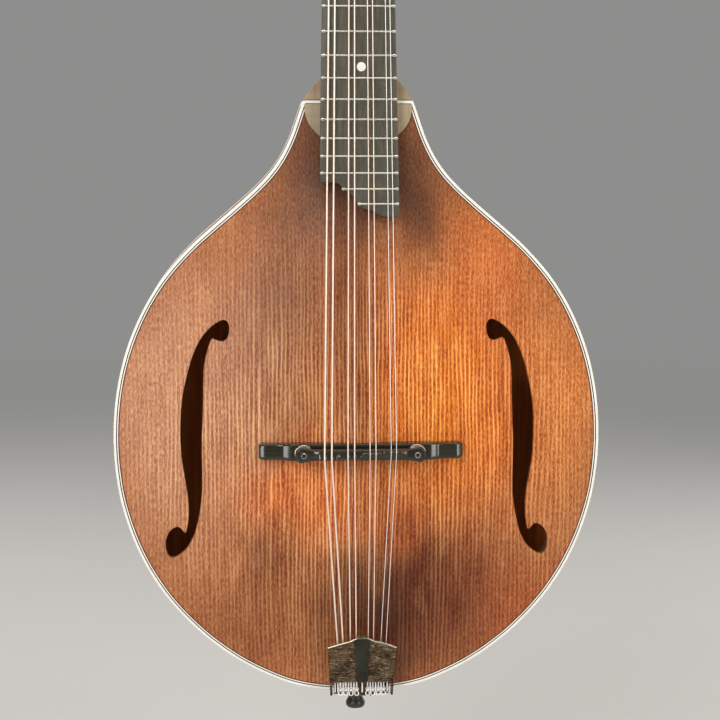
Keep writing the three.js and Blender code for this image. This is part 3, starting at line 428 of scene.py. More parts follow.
def mat_maple(name, c1, c2, c3, axis="back", rough=(0.34, 0.5), curl=0.55):
    m = Mat(name, rough=0.42, coat=0.15, coat_rough=0.2, spec=0.45)
    if axis == "back":      # grain up and down, curl across, mirrored about the centre seam
        x, y, z = m.xyz()[:3]
        ax = m.math("ABSOLUTE", x)
        vec = m.combine(ax, y, m.math("ADD", z, m.math("MULTIPLY", ax, 0.22)))
        curlv = m.noise(m.map((7, 2, 150), src=vec), 1.0, 3, 0.55, 0.2)
        grain = m.noise(m.map((420, 60, 6)), 1.0, 3, 0.6)
        fine = m.noise(m.map((2400, 400, 50)), 1.0, 2, 0.5)
    elif axis == "rib":     # grain along the rib, curl across its depth
        vec = m.co
        curlv = m.noise(m.map((130, 5, 130), src=vec), 1.0, 3, 0.5, 0.25)
        grain = m.noise(m.map((14, 480, 14)), 1.0, 3, 0.6)
        fine = m.noise(m.map((160, 2400, 160)), 1.0, 2, 0.5)
    else:                   # neck: grain up and down with faint curl
        vec = m.co
        curlv = m.noise(m.map((10, 10, 120), src=vec), 1.0, 3, 0.5, 0.3)
        grain = m.noise(m.map((380, 380, 7)), 1.0, 3, 0.6)
        fine = m.noise(m.map((2200, 2200, 60)), 1.0, 2, 0.5)
    base = m.mix(m.noise(m.map((9, 9, 7)), 1.0, 4, 0.6), c1, c2)
    col = m.mix(m.rng(curlv, 0.36, 0.66, 0.0, curl), base, c3)
    col = m.mix(m.rng(grain, 0.55, 0.8, 0.0, 0.45), col, m.mix(0.6, base, lin(50, 26, 14)))
    col = m.mix(m.rng(fine, 0.55, 0.8, 0.0, 0.3), col, lin(44, 24, 14))
    r = m.rng(m.noise(m.map((70, 70, 40)), 1.0, 4, 0.6), 0.3, 0.7, rough[0], rough[1])
    nrm = m.bump(m.math("ADD", m.math("MULTIPLY", grain, 0.6), m.math("MULTIPLY", fine, 0.4)), 0.25, 0.00012)
    return m.done(col, r, nrm)

def mat_dark(name, c1, c2, pore, rough=(0.3, 0.45), scale=1.0, spec=0.45, along="z", coat=0.0):
    m = Mat(name, rough=0.4, spec=spec, coat=coat, coat_rough=0.08)
    sc = {"z": (520, 520, 16), "x": (16, 520, 520)}[along]
    g = m.noise(m.map(tuple(s * scale for s in sc)), 1.0, 4, 0.65)
    f = m.noise(m.map(tuple(s * 3.4 * scale for s in sc)), 1.0, 2, 0.6)
    big = m.noise(m.map((40, 40, 18)), 1.0, 3, 0.6)
    col = m.mix(m.rng(g, 0.35, 0.7), c1, c2)
    col = m.mix(m.math("MULTIPLY", big, 0.45), col, c1)
    col = m.mix(m.rng(f, 0.58, 0.78, 0.0, 0.8), col, pore)
    r = m.rng(big, 0.3, 0.7, rough[0], rough[1])
    nrm = m.bump(m.math("SUBTRACT", g, m.math("MULTIPLY", f, 0.7)), 0.3, 0.00010)
    return m.done(col, r, nrm)

def mat_plastic(name, c1, c2, rough=(0.25, 0.4), pearl=False, scale=60):
    m = Mat(name, rough=0.35, coat=0.2 if pearl else 0.05, coat_rough=0.1)
    n = m.noise(m.map((scale, scale, scale)), 1.0, 4, 0.6, 0.6 if pearl else 0.1)
    col = m.mix(m.rng(n, 0.3, 0.7), c1, c2)
    if pearl:
        v = m.noise(m.map((260, 260, 260)), 1.0, 3, 0.5, 1.4)
        col = m.mix(m.rng(v, 0.45, 0.7, 0.0, 0.5), col, lin(250, 246, 238))
    else:
        v = m.noise(m.map((500, 500, 40)), 1.0, 3, 0.6)
        col = m.mix(m.rng(v, 0.6, 0.85, 0.0, 0.25), col, lin(120, 100, 74))
    r = m.rng(n, 0.3, 0.7, rough[0], rough[1])
    return m.done(col, r, m.bump(v, 0.12, 0.00006))

def mat_metal(name, c1, c2, rough=(0.18, 0.36), brush=(900, 900, 60), bumpy=0.12, tarnish=0.25, blot=45, hammer_and_reflection=0.0, metal=1.0):
    m = Mat(name, rough=0.25, metal=metal)
    n = m.noise(m.map((blot, blot, blot)), 1.0, 5, 0.65)
    b = m.noise(m.map(brush), 1.0, 3, 0.6)
    col = m.mix(m.rng(n, 0.35, 0.7), c1, c2)
    col = m.mix(m.rng(b, 0.6, 0.85, 0.0, tarnish), col, tuple(x * 0.35 for x in c1))
    r = m.math("ADD", m.rng(n, 0.3, 0.7, rough[0], rough[1]), m.rng(b, 0.4, 0.8, 0.0, 0.07))
    nr = m.bump(b, bumpy, 0.00004)
    if hammer_and_reflection:
        h = m.noise(m.map((210, 210, 760)), 1.0, 4, 0.66, 1.4)
        nr = m.bump(h, hammer_and_reflection, 0.0008, nr)
        # painted reflection: dark in the dents and pale on the high spots, a mottle standing in for the surroundings
        # reflected in the plated metal
        col = m.mix(m.rng(h, 0.34, 0.52, 0.75, 0.0), col, tuple(x * 0.22 for x in c1))
        col = m.mix(m.rng(h, 0.54, 0.66, 0.0, 0.55), col, lin(186, 168, 144))
    return m.done(col, r, nr)

def mat_wound(name, c1, c2):
    m = Mat(name, rough=0.3, metal=0.5)
    w = m.wave(m.map((0, 0, 1)), 420.0, 0.0, 0, 1.0, "Z")
    m.bsdf.inputs["Anisotropic"].default_value = 0.0
    n = m.noise(m.map((300, 300, 30)), 1.0, 3, 0.6)
    col = m.mix(m.rng(n, 0.3, 0.7), c1, c2)
    # painted shade: darker reddish bronze in the grooves between the windings
    col = m.mix(m.rng(w, 0.0, 0.3, 0.25, 0.0), col, lin(186, 124, 92))
    return m.done(col, m.rng(n, 0.3, 0.7, 0.34, 0.5), m.bump(w, 0.3, 0.00006))

def mat_raw(name, c1, c2):
    m = Mat(name, rough=0.8, spec=0.2)
    g = m.noise(m.map((300, 300, 8)), 1.0, 4, 0.6)
    f = m.noise(m.map((1800, 1800, 90)), 1.0, 2, 0.6)
    col = m.mix(m.rng(g, 0.35, 0.7), c1, c2)
    col = m.mix(m.rng(f, 0.5, 0.8, 0.0, 0.35), col, tuple(x * 0.4 for x in c1))
    return m.done(col, m.rng(f, 0.3, 0.7, 0.7, 0.88), m.bump(f, 0.3, 0.0002))

TOP = mat_spruce()
BACK = mat_maple("maple_back", lin(112, 62, 36), lin(134, 76, 44), lin(176, 112, 66), "back")
RIB = mat_maple("maple_ribs", lin(106, 58, 34), lin(128, 72, 42), lin(170, 106, 62), "rib")
NECK = mat_maple("neck_wood", lin(136, 115, 90), lin(158, 136, 106), lin(182, 159, 126), "neck", (0.38, 0.52), 0.4)
RISER = mat_maple("riser_wood", lin(138, 123, 102), lin(164, 146, 118), lin(186, 164, 128), "neck", (0.4, 0.54), 0.35)
HEAD = mat_maple("headstock_wood", lin(134, 113, 88), lin(156, 134, 104), lin(180, 157, 124), "neck", (0.38, 0.52), 0.4)
RAW = mat_raw("raw_spruce", lin(178, 132, 88), lin(204, 160, 112))
INSIDE = mat_raw("inside_wood", lin(172, 88, 36), lin(206, 122, 60))
EBONY = mat_dark("ebony", lin(44, 40, 37), lin(62, 56, 50), lin(18, 16, 15), (0.24, 0.36))
EBONY_X = mat_dark("ebony_bridge", lin(26, 25, 16), lin(46, 44, 30), lin(12, 11, 8), (0.12, 0.24), along="x", coat=0.5, spec=0.3)
BOARD = mat_dark("fingerboard_wood", lin(62, 59, 49), lin(92, 88, 74), lin(28, 26, 21), (0.34, 0.48))
IVORY = mat_plastic("binding_ivory", lin(228, 223, 212), lin(242, 238, 229))
BLACK = mat_plastic("purfling_black", lin(26, 22, 20), lin(38, 32, 28), (0.35, 0.5))
# painted shadow: dark red-brown for the line inside the binding where the top's edge falls in shade
EDGE_SHADOW_LINE = mat_plastic("painted_edge_shadow", lin(64, 22, 8), lin(96, 36, 14), (0.4, 0.55))
BONE = mat_plastic("bone", lin(226, 216, 190), lin(238, 230, 208), (0.2, 0.32))
PEARL = mat_plastic("pearl", lin(222, 220, 212), lin(238, 236, 230), (0.15, 0.28), True, 220)
BUTTON = mat_plastic("button_pearl", lin(222, 214, 192), lin(238, 232, 214), (0.15, 0.28), True, 160)
NICKEL = mat_metal("nickel", lin(196, 190, 180), lin(216, 211, 202))
BRIGHT = mat_metal("string_steel", lin(244, 243, 242), lin(253, 252, 251), (0.3, 0.46), (300, 300, 60), metal=0.5)
STEEL = mat_metal("steel", lin(226, 224, 222), lin(242, 241, 240), (0.22, 0.36))
FRETM = mat_metal("fret_wire", lin(214, 208, 190), lin(234, 229, 214), (0.2, 0.34), brush=(60, 900, 900))
# painted reflection: the brown tint and its dark and pale mottle stand in for the room reflected in the plated
# tailpiece and strap; the bump is relief
TAILM = mat_metal("tail_metal", lin(66, 52, 38), lin(128, 106, 82), (0.14, 0.28), (420, 420, 160), 0.15, 0.3, 110, 1.6)
# painted highlight: pale metal for the bright line along the cover's top edge
TAIL_HIGHLIGHT = mat_metal("tail_edge_painted_highlight", lin(206, 192, 168), lin(232, 222, 204), (0.24, 0.38), (300, 300, 300), 0.1, 0.3, 200)
TAILD = mat_metal("tail_metal_dark", lin(52, 52, 46), lin(72, 72, 64), (0.2, 0.34), (900, 900, 80), 0.1, 0.3, 90)
WOUND = mat_wound("bronze_wound", lin(246, 222, 206), lin(253, 238, 228))
GEARM = mat_metal("gear_brass", lin(190, 160, 104), lin(214, 186, 128), (0.24, 0.4))

# ------------------------------------------------------------------ body outline and arch
NS = 150
_r = cr([(w, u) for u, w in HALF], NS)
_r[0, 0] = 0
_ac = [(x, 228.9) for x in (24, 12, 0, -12, -24)]
OUT = np.array([tuple(p) for p in _r] + _ac + [(-x, y) for x, y in _r[::-1][:-1]])
OUT = offset(OUT, 0.30)
PLATE = offset(OUT, 3.9)
_pl = offset(OUT, 2.35)
_pt = np.arctan2(_pl[:, 1], _pl[:, 0]); _pr = np.hypot(_pl[:, 0], _pl[:, 1]); _k = np.argsort(_pt); _pt, _pr = _pt[_k], _pr[_k]
def reach(x, y):
    return np.minimum(1, np.hypot(x, y) / np.interp(np.arctan2(y, x), _pt, _pr, period=2 * math.pi))
rise = lambda s: 0.5 * (1 + np.cos(np.pi * s ** 1.15))
def top_h(x, y): return ARCH_TOP * rise(reach(np.asarray(x, float), np.asarray(y, float)))
def thick(s): return PLATE_MID + (PLATE_EDGE - PLATE_MID) * s * s

def inside(poly, pts):
    P = np.asarray(poly); x, y = pts[:, 0], pts[:, 1]; c = np.zeros(len(pts), bool)
    x0, y0 = P[:, 0], P[:, 1]; x1, y1 = np.roll(x0, -1), np.roll(y0, -1)
    for a, b, d, e in zip(x0, y0, x1, y1):
        if b != e:
            hit = ((b > y) != (e > y)) & (x < (d - a) * (y - b) / (e - b) + a); c ^= hit
    return c

def top_mesh():
    fl = cr(F_HOLE, 230, closed=True); fl = ccw(fl)
    fr = ccw([(-x, y) for x, y in fl])
    loops = [np.array(PLATE)]
    holes = []
    for f in (fl, fr):
        holes.append(f)
        loops.append(f); loops.append(offset(f, -0.55))
    step = 4.2; gx = np.arange(-164, 165, step); gy = np.arange(-170, 232, step * 0.866); pts = []
    for j, y in enumerate(gy):
        for x in gx: pts.append((x + (step / 2 if j % 2 else 0), y))
    pts = np.array(pts)
    keep = inside(PLATE, pts)
    allb = np.vstack(loops)
    for i in range(0, len(pts), 500):
        d = np.min(np.hypot(pts[i:i + 500, None, 0] - allb[None, :, 0], pts[i:i + 500, None, 1] - allb[None, :, 1]), axis=1)
        keep[i:i + 500] &= d > 1.5
    for f in holes: keep &= ~inside(f, pts)
    pts = pts[keep]
    V = [Vector((float(a), float(b))) for l in loops for a, b in l]; E = []; b = 0
    for l in loops:
        n = len(l); E += [(b + i, b + (i + 1) % n) for i in range(n)]; b += n
    V += [Vector((float(a), float(b2))) for a, b2 in pts]
    vo, eo, fo, ov, oe, of = delaunay_2d_cdt(V, E, [], 0, 1e-5)
    vo = np.array([(v.x, v.y) for v in vo]); fo = [f for f in fo]
    cen = np.array([vo[list(f)].mean(0) for f in fo])
    ok = inside(PLATE, cen)
    for f in holes: ok &= ~inside(f, cen)
    fo = [f for f, k in zip(fo, ok) if k]
    s = reach(vo[:, 0], vo[:, 1])
    zt = ARCH_TOP * rise(s)
    # edge of each f-hole eased over half a millimetre
    edge = np.zeros(len(vo), bool)
    for f in holes:
        for i in range(0, len(vo), 800):
            d = np.min(np.hypot(vo[i:i + 800, None, 0] - f[None, :, 0], vo[i:i + 800, None, 1] - f[None, :, 1]), axis=1)
            edge[i:i + 800] |= d < 1e-3
    zt = zt - np.where(edge, 0.4, 0.0)
    zb = ARCH_TOP * rise(s) - thick(s)
    n = len(vo)
    verts = [(a, b2, c) for (a, b2), c in zip(vo, zt)] + [(a, b2, c) for (a, b2), c in zip(vo, zb)]
    def area(f):
        p = vo[list(f)]; return np.cross(p[1] - p[0], p[2] - p[0])
    tops = [f if area(f) > 0 else f[::-1] for f in fo]
    faces = [tuple(f) for f in tops] + [tuple(i + n for i in f[::-1]) for f in tops]
    cnt = {}
    for f in tops:
        for i in range(3):
            a, b2 = f[i], f[(i + 1) % 3]; cnt[(a, b2)] = 1
    for (a, b2) in cnt:
        if (b2, a) not in cnt: faces.append((b2, a, a + n, b2 + n))
    used = sorted({i for f in faces for i in f}); re = {o: k for k, o in enumerate(used)}
    return [verts[i] for i in used], [tuple(re[i] for i in f) for f in faces]

V, F = top_mesh()
_tp = make("top", V, F, TOP, repl=["top_plate"], angle=30)
EDGE = mat_raw("f_hole_edge", lin(206, 152, 112), lin(232, 184, 142)); _tp.data.materials.append(EDGE); _tp.data.materials.append(INSIDE)
_fl = cr(F_HOLE, 230, closed=True); _fa = np.vstack([_fl, _fl * np.array([-1, 1])])
for p in _tp.data.polygons:
    if p.normal.y > 0.5: p.material_index = 2
    else:
        c = p.center; x, y = c.x * 1000, c.z * 1000 + SCALE
        if np.min(np.hypot(_fa[:, 0] - x, _fa[:, 1] - y)) < 0.42: p.material_index = 1

def polar(line, rings, zf, reverse=False):
    n = len(line); V = [(0, 0, float(zf(0.0)))]; F = []
    for j in range(1, rings + 1):
        s = j / rings; V += [(x * s, y * s, float(zf(s))) for x, y in line]
    for i in range(n): F.append((0, 1 + i, 1 + (i + 1) % n))
    for r in range(rings - 1):
        for i in range(n):
            j = (i + 1) % n; p = 1 + r * n; q = p + n; F.append((p + i, q + i, q + j, p + j))
    return V, F
BLINE = offset(OUT, 2.25)
Vo, Fo = polar(BLINE, 26, lambda s: -RIM_DEPTH - ARCH_BACK * rise(s))
Vi, Fi = polar(BLINE, 26, lambda s: -RIM_DEPTH + thick(s) - ARCH_BACK * rise(s))
n0 = len(Vo); nb = len(BLINE)
F = [f[::-1] for f in Fo] + [tuple(i + n0 for i in f) for f in Fi]
ra = 1 + 25 * nb
F += [(ra + i, ra + (i + 1) % nb, n0 + ra + (i + 1) % nb, n0 + ra + i) for i in range(nb)]
_bk = make("back", Vo + Vi, F, BACK, repl=["back_plate"])
_bk.data.materials.append(INSIDE)
for p in _bk.data.polygons:
    if p.normal.y < 0 and all((-_bk.data.vertices[i].co.y * 1000 + HANG_H) > -RIM_DEPTH - ARCH_BACK + 4.5 for i in p.vertices):
        p.material_index = 1

def band(d0, d1, z0, z1, r_out=0.0, top_fn=None, r_in=0.0):
    """Closed band between two insets of the outline, with an optional rounded outer top and bottom edge."""
    prof = [(d1, z0)]
    if r_out:
        prof += [(d0 + r_out - r_out * math.sin(a), z0 + r_out - r_out * math.cos(a)) for a in np.linspace(0, math.pi / 2, 4)]
        prof += [(d0 + r_out - r_out * math.cos(a), z1 - r_out + r_out * math.sin(a)) for a in np.linspace(0, math.pi / 2, 4)]
    else:
        prof += [(d0, z0), (d0, z1)]
    prof += [(d1, z1)]
    rings = [[(x, y, z) for x, y in offset(OUT, d)] for d, z in prof]
    rings.append(rings[0])
    return loft(rings, False, False)
V, F = band(0.0, 2.3, -BIND_H, 0.0, 0.55)
make("binding_top", V, F, IVORY, repl=["top_binding"], angle=50)
V, F = band(0.0, 2.3, -RIM_DEPTH, -RIM_DEPTH + BIND_H, 0.55)
make("binding_back", V, F, IVORY, repl=["back_binding"], angle=50)
# the third band is a painted shadow, a dark red-brown line between the purfling and the top's edge
for nm, a, b, mt in (("purfling_1", 1.75, 2.4, BLACK), ("purfling_2", 2.4, 3.1, IVORY), ("purfling_3", 3.1, 3.9, EDGE_SHADOW_LINE)):
    V, F = band(a, b, -1.5, 0.0)
    make(nm, V, F, mt)

# ribs: two bent sides, meeting at the tail
def rib(side):
    lo, hi = offset(OUT, 0.25), offset(OUT, 2.7)
    idx = [i for i in range(len(OUT)) if (OUT[i][0] * side > 0.05 or i == 0) and OUT[i][1] < 228.5]
    if side < 0: idx = [0] + [i for i in idx if i != 0][::-1]
    rings = []
    zs = np.linspace(-RIM_DEPTH + BIND_H, -BIND_H, 7)
    for i in idx:
        x0 = side * 0.04 if i == 0 else lo[i][0]; x1 = side * 0.04 if i == 0 else hi[i][0]
        rings.append([(x0, lo[i][1], z) for z in zs] + [(x1, hi[i][1], z) for z in zs[::-1]])
    return loft(rings)
for nm, sd in (("bass", -1), ("treble", 1)):
    V, F = rib(sd); make("rib_side_" + nm, V, F, RIB, repl=["rib_" + nm], angle=30)

# ------------------------------------------------------------------ neck
EAR = [(229.3, 35.6), (230.6, 34.7), (233.5, 33.0), (237.1, 30.5), (240, 27.9), (242.3, 25.4), (244, 24.5)]
DEPTH = [(229.3, 57.5), (233.5, 56.5), (237.1, 54), (240, 51), (243, 47.5), (247, 42.5), (252, 37), (258, 31.8), (266, 27), (278, 23.2), (295, 21.2), (330, 20.2), (460, 18.2), (560, 16.4), (585, 15.6)]
def ear(u):
    return float(np.interp(u, [e[0] for e in EAR], [e[1] for e in EAR])) if u < 244 else 0.0
_d = cr(DEPTH, 400)
def neck_rings(us, K=40, grow=0.0):
    rings = []
    for u in us:
        d = float(np.interp(u, _d[:, 0], _d[:, 1])); b = board_half(u) - 0.12; w = max(ear(u), b + 0.03); z0 = FB_TOP - FB_T - 0.02
        ze = min(z0 - 1.5, (u - JOINT_U) * NECK_SLOPE + max(0, min(1, (u - 240) / 6)) * 1.5)
        ring = [(b, u, z0), (-b, u, z0), (-b, u, ze)]
        rr = min(0.8, (w - b) * 0.8)
        for k in range(K + 1):
            a = math.pi * k / K
            dz = (d + ze - z0) * math.sin(a)
            ring.append((-w * math.cos(a) * (1 if k not in (0, K) else 1 - 0.012), u, ze - 0.02 - dz - (0.0 if k in (0, K) else 0.35)))
        ring.append((b, u, ze))
        rings.append([tilt_inst(p) for p in ring])
    return rings
us = np.concatenate([np.linspace(229.35, 246, 26), np.linspace(247.5, 300, 24), np.linspace(306, 574, 34)])
V, F = loft(neck_rings(us))
make("neck_shaft", V, F, NECK, repl=["neck"], angle=32)

HS_R = [(18.6, -3), (18.9, 4), (21, 10), (26, 16), (31, 22), (33.5, 28.5), (34, 45), (34, 75), (35.3, 105), (36.6, 128), (36.2, 138), (33, 146.5), (26, 151.2), (16, 153.6), (8, 156), (0, 157.2)]
_h = cr(HS_R, 90); _h[:, 0] *= 0.997; _h[-1, 1] = 157.1
HLINE = np.array([tuple(p) for p in _h] + [(-x, y) for x, y in _h[::-1][1:]])
HLINE2 = offset(ccw(HLINE), 0.06)
hl = [p for p in HLINE2 if True]
V, F = slab(hl, -HS_T, 0.22, 0.9, 4)
make("headstock", V, F, HEAD, conv=HS)
# volute: the neck's back runs into the back of the headstock
rings = []
for t in np.linspace(0, 1, 22):
    u = 556 + 40 * t
    k = 0.5 - 0.5 * math.cos(math.pi * t)
    w = (board_half(min(u, 578)) - 0.15) * (1 - 0.0 * k) if t < 0.55 else (board_half(578) - 0.15) * (1 - 0.35 * ((t - 0.55) / 0.45) ** 1.5)
    zt = (FB_TOP - FB_T - 0.1) - NECK_SLOPE * (u - JOINT_U)
    if u > HS_U0: zt -= (u - HS_U0) * (math.tan(-HS_A) - NECK_SLOPE) + 1.2
    d = float(np.interp(u, _d[:, 0], _d[:, 1])) + 1.6 * math.sin(math.pi * min(1, t * 1.1)) - 0.1
    zb = (FB_TOP - FB_T) - NECK_SLOPE * (u - JOINT_U) - d
    if u > HS_U0: zb -= (u - HS_U0) * 0.16
    ring = [(w, u, zt), (-w, u, zt)]
    for j in range(33):
        a = math.pi * j / 32; ring.append((-w * math.cos(a) * 0.999, u, zt - 1.2 - (zt - 1.2 - zb) * math.sin(a)))
    rings.append(ring)
V, F = loft(rings)
make("neck_volute", V, F, NECK, angle=40)

# riser under the fingerboard's end: level shoulders and a raised tongue
RI = [(35.0, 226.4), (35.0, 222.6), (34.1, 217.5), (31.6, 212.4), (28.3, 208.5), (25.6, 206), (23.6, 203.5), (22.6, 200)]
_ri = [tuple(p) for p in cr(RI, 40)]
_rl = _ri + [(-x, y) for x, y in _ri[::-1]]
V, F = slab(_rl, -0.5, 1.6, 0.5, 3)
make("riser_shoulders", V, F, RISER, repl=["fingerboard_riser"])
V, F = slab([(23.3, 226.3), (-23.3, 226.3), (-22.4, 178.2), (22.4, 178.2)], -3.0, FB_TOP - FB_T - 0.05, 0.3, 2)
V = [(x, y, z if z < 0 else z - NECK_SLOPE * (y - JOINT_U)) for x, y, z in V]
make("riser_tongue", V, F, RISER)

# ------------------------------------------------------------------ fingerboard, frets, dots, nut
EXT = [(-19, 175.9), (-13.8, 175.3), (-11.2, 172.8), (-9, 170.5), (-6, 168.8), (-3.8, 166.6), (-2.4, 163.7), (-0.8, 160.8),
       (3.1, 159.2), (7.6, 158.2), (10.9, 156.2), (14.8, 154.4), (20.6, 153.9)]
bl = [(-board_half(176.3), 176.3)] + [tuple(p) for p in cr(EXT, 60)] + [(board_half(154.4), 154.6)]
bl += [(board_half(u), u) for u in np.linspace(170, 577.7, 24)] + [(-board_half(u), u) for u in np.linspace(577.7, 190, 24)]
V, F = slab(bl, FB_TOP - FB_T, FB_TOP, 0.35, 3)
make("fingerboard_wood", V, F, BOARD, conv=TILT, repl=["fingerboard"], angle=35)
def fret(u, x0, x1):
    ball = lambda t: 1 + 0.16 * math.sin(math.pi * min(1, t / 2.6)) if t > 0.5 else 0.25 + 0.83 * math.sqrt(max(0, 1 - (1 - t / 0.5) ** 2))
    xs = [(x0 + t, ball(t)) for t in (0, 0.06, 0.16, 0.32, 0.5, 0.8, 1.1, 1.4, 1.8, 2.2, 2.6)]
    xs += [(x, 1.0) for x in np.linspace(x0 + 3.2, x1 - 3.2, 8)]
    xs += [(x1 - t, ball(t)) for t in (2.6, 2.2, 1.8, 1.4, 1.1, 0.8, 0.5, 0.32, 0.16, 0.06, 0)]
    R = []
    for x, sh in xs:
        R.append([(x, u + (0.7 + 2.8 * max(0, sh - 1)) * math.cos(a) * min(1, 0.7 + 0.3 * sh), FB_TOP - 0.05 + 0.95 * min(sh, 1.04) * math.sin(a)) for a in np.linspace(0, math.pi, 13)] + [(x, u - 0.8, FB_TOP - 0.6), (x, u + 0.8, FB_TOP - 0.6)])
    return loft(R)
for i, u in enumerate(FRETS):
    w = board_half(u) - 0.02
    V, F = fret(u, -11.6 if i == 20 else -1.4 if i == 21 else -w, w)
    make(f"fret_{i + 1}", V, F, FRETM, conv=TILT, angle=60)
def dot(nm, x, u, r=3.0):
    V, F = lathe([(0, 0.4), (r, 0.4), (r, FB_TOP * 0 + 0.78), (r - 0.15, 0.83), (0, 0.83)], 36, "z", (x, u, FB_TOP - 0.8))
    make(nm, V, F, PEARL, conv=TILT)
mid = lambda n: (SCALE * 2 ** (-(n - 1) / 12) + SCALE * 2 ** (-n / 12)) / 2
for n in (3, 5, 7, 10, 15): dot(f"dot_{n}", 1.5 if n == 15 else 0.8, mid(n))
dot("dot_12_a", -9.5, mid(12)); dot("dot_12_b", 11.5, mid(12))
# nut with its eight slots
nw = board_half(SCALE) - 0.02
xs = [-nw, -nw + 0.5]
for r, hk, sd, nx in STR: xs += [nx - r - 0.35, nx - r * 0.8, nx, nx + r * 0.8, nx + r + 0.35]
xs += [nw - 0.5, nw]
zt_f = FB_TOP + 1.36
R = []
for x in xs:
    dz = 0.0
    for r, hk, sd, nx in STR:
        q = abs(x - nx)
        if q <= r * 0.81: dz = max(dz, 0.32 if q > 0.01 else 0.5)
    e = 0.6 if abs(x) > nw - 0.1 else 0.0
    zt = zt_f - dz - e * 0.6
    R.append([(x, SCALE + 0.05, FB_TOP - FB_T + 0.05), (x, SCALE + 4.6, FB_TOP - FB_T + 0.05), (x, SCALE + 4.6, FB_TOP + 0.3 - e * 0.5), (x, SCALE + 4.2, FB_TOP + 0.75 - dz), (x, SCALE + 3.0, zt - 0.18), (x, SCALE + 1.2, zt), (x, SCALE + 0.4, zt - 0.05), (x, SCALE + 0.05, zt - 0.35)])
V, F = loft(R)
make("nut_bone", V, F, BONE, conv=TILT, repl=["nut"], angle=30)

# ------------------------------------------------------------------ headstock face and truss-rod cover
ol = [(x, max(y, 2.5)) for x, y in hl]
q = []
for p in ol:
    if not q or math.hypot(p[0] - q[-1][0], p[1] - q[-1][1]) > 0.02: q.append(p)
V, F = slab(q, 0.25, 0.3 + OVERLAY_T, 0.5, 3)
make("headstock_face", V, F, EBONY, conv=HS, repl=["headstock_overlay"])
CV = [(8.5, 3.4), (9.6, 6), (9.4, 10), (7.8, 18), (7.2, 25), (6.8, 31), (5, 36.5), (2.2, 40), (0, 41)]
_c = cr(CV, 44); cl = [tuple(p) for p in _c] + [(-x, y) for x, y in _c[::-1][1:]]
z0 = 0.3 + OVERLAY_T
V, F = slab(cl, z0 + 0.02, z0 + 2.0, 0.5, 3)
make("truss_cover", V, F, BLACK, conv=HS, repl=["truss_rod_cover"])
cl2 = offset(ccw(cl), 1.0); cl3 = offset(ccw(cl), 1.5)
rings = [[(x, y, z0 + 1.9) for x, y in cl2], [(x, y, z0 + 2.08) for x, y in cl2], [(x, y, z0 + 2.08) for x, y in cl3], [(x, y, z0 + 1.9) for x, y in cl3]]
rings.append(rings[0])
V, F = loft(rings, False, False)
make("truss_cover_line", V, F, IVORY, conv=HS)
def screw(nm, x, s, z, conv=HS, r=1.6, flip=1, ang=0.5, mat=None):
    """Domed slotted screw head; flip -1 faces the back."""
    V, F = [], []
    seg = 24; rows = []
    prof = [(r, 0.0), (r, 0.25), (r * 0.85, 0.55), (r * 0.5, 0.75), (0.0, 0.8)]
    for rr, h in prof:
        row = []
        for k in range(seg if rr > 0 else 1):
            w = 2 * math.pi * k / seg; a, b = rr * math.cos(w), rr * math.sin(w)
            c = abs(a * math.sin(ang) - b * math.cos(ang))
            hh = h - (0.3 if (c < 0.32 and rr < r) else 0)
            V.append((x + a, s + b, z + flip * max(0, hh))); row.append(len(V) - 1)
        rows.append(row)
    for A, B in zip(rows, rows[1:]):
        for k in range(seg):
            j = (k + 1) % seg
            F.append((A[k], A[j], B[0]) if len(B) == 1 else (A[k], A[j], B[j], B[k]))
    F.append(tuple(rows[0])[::-1])
    return make(nm, V, F, mat or NICKEL, conv=conv, angle=25)
screw("cover_screw_1", 0, 37.0, z0 + 1.75); screw("cover_screw_2", -6.2, 6.8, z0 + 1.75); screw("cover_screw_3", 6.2, 6.8, z0 + 1.75)

# ------------------------------------------------------------------ tuners
def helix(x0, x1, pitch, r0, r1, cy, cz, turns_seg=26):
    n = int((x1 - x0) / pitch * turns_seg); V, F = [], []
    for i in range(n + 1):
        x = x0 + (x1 - x0) * i / n; a = 2 * math.pi * (x - x0) / pitch
        c, s = math.cos(a), math.sin(a); f = min(1, i / 10, (n - i) / 10)
        ro = r0 + (r1 - r0) * f
        for rr, dx in ((r0 - 0.15, -pitch * 0.34), (ro, -pitch * 0.12), (ro, pitch * 0.12), (r0 - 0.15, pitch * 0.34)):
            V.append((x + dx, cy + rr * c, cz + rr * s))
    for i in range(n):
        for k in range(4):
            j = (k + 1) % 4; F.append((4 * i + k, 4 * (i + 1) + k, 4 * (i + 1) + j, 4 * i + j))
    F += [(0, 1, 2, 3), (4 * n + 3, 4 * n + 2, 4 * n + 1, 4 * n)]
    return V, F
def gear(x, s, z0, z1):
    pts = []
    for k in range(TEETH):
        for f, r in ((-0.30, 4.3), (-0.24, 4.5), (-0.11, 5.25), (0.0, 5.38), (0.11, 5.25), (0.24, 4.5), (0.30, 4.3)):
            a = 2 * math.pi * (k + f) / TEETH; pts.append((x + r * math.cos(a), s + r * math.sin(a)))
    return slab(pts, z0, z1, 0.22, 2)
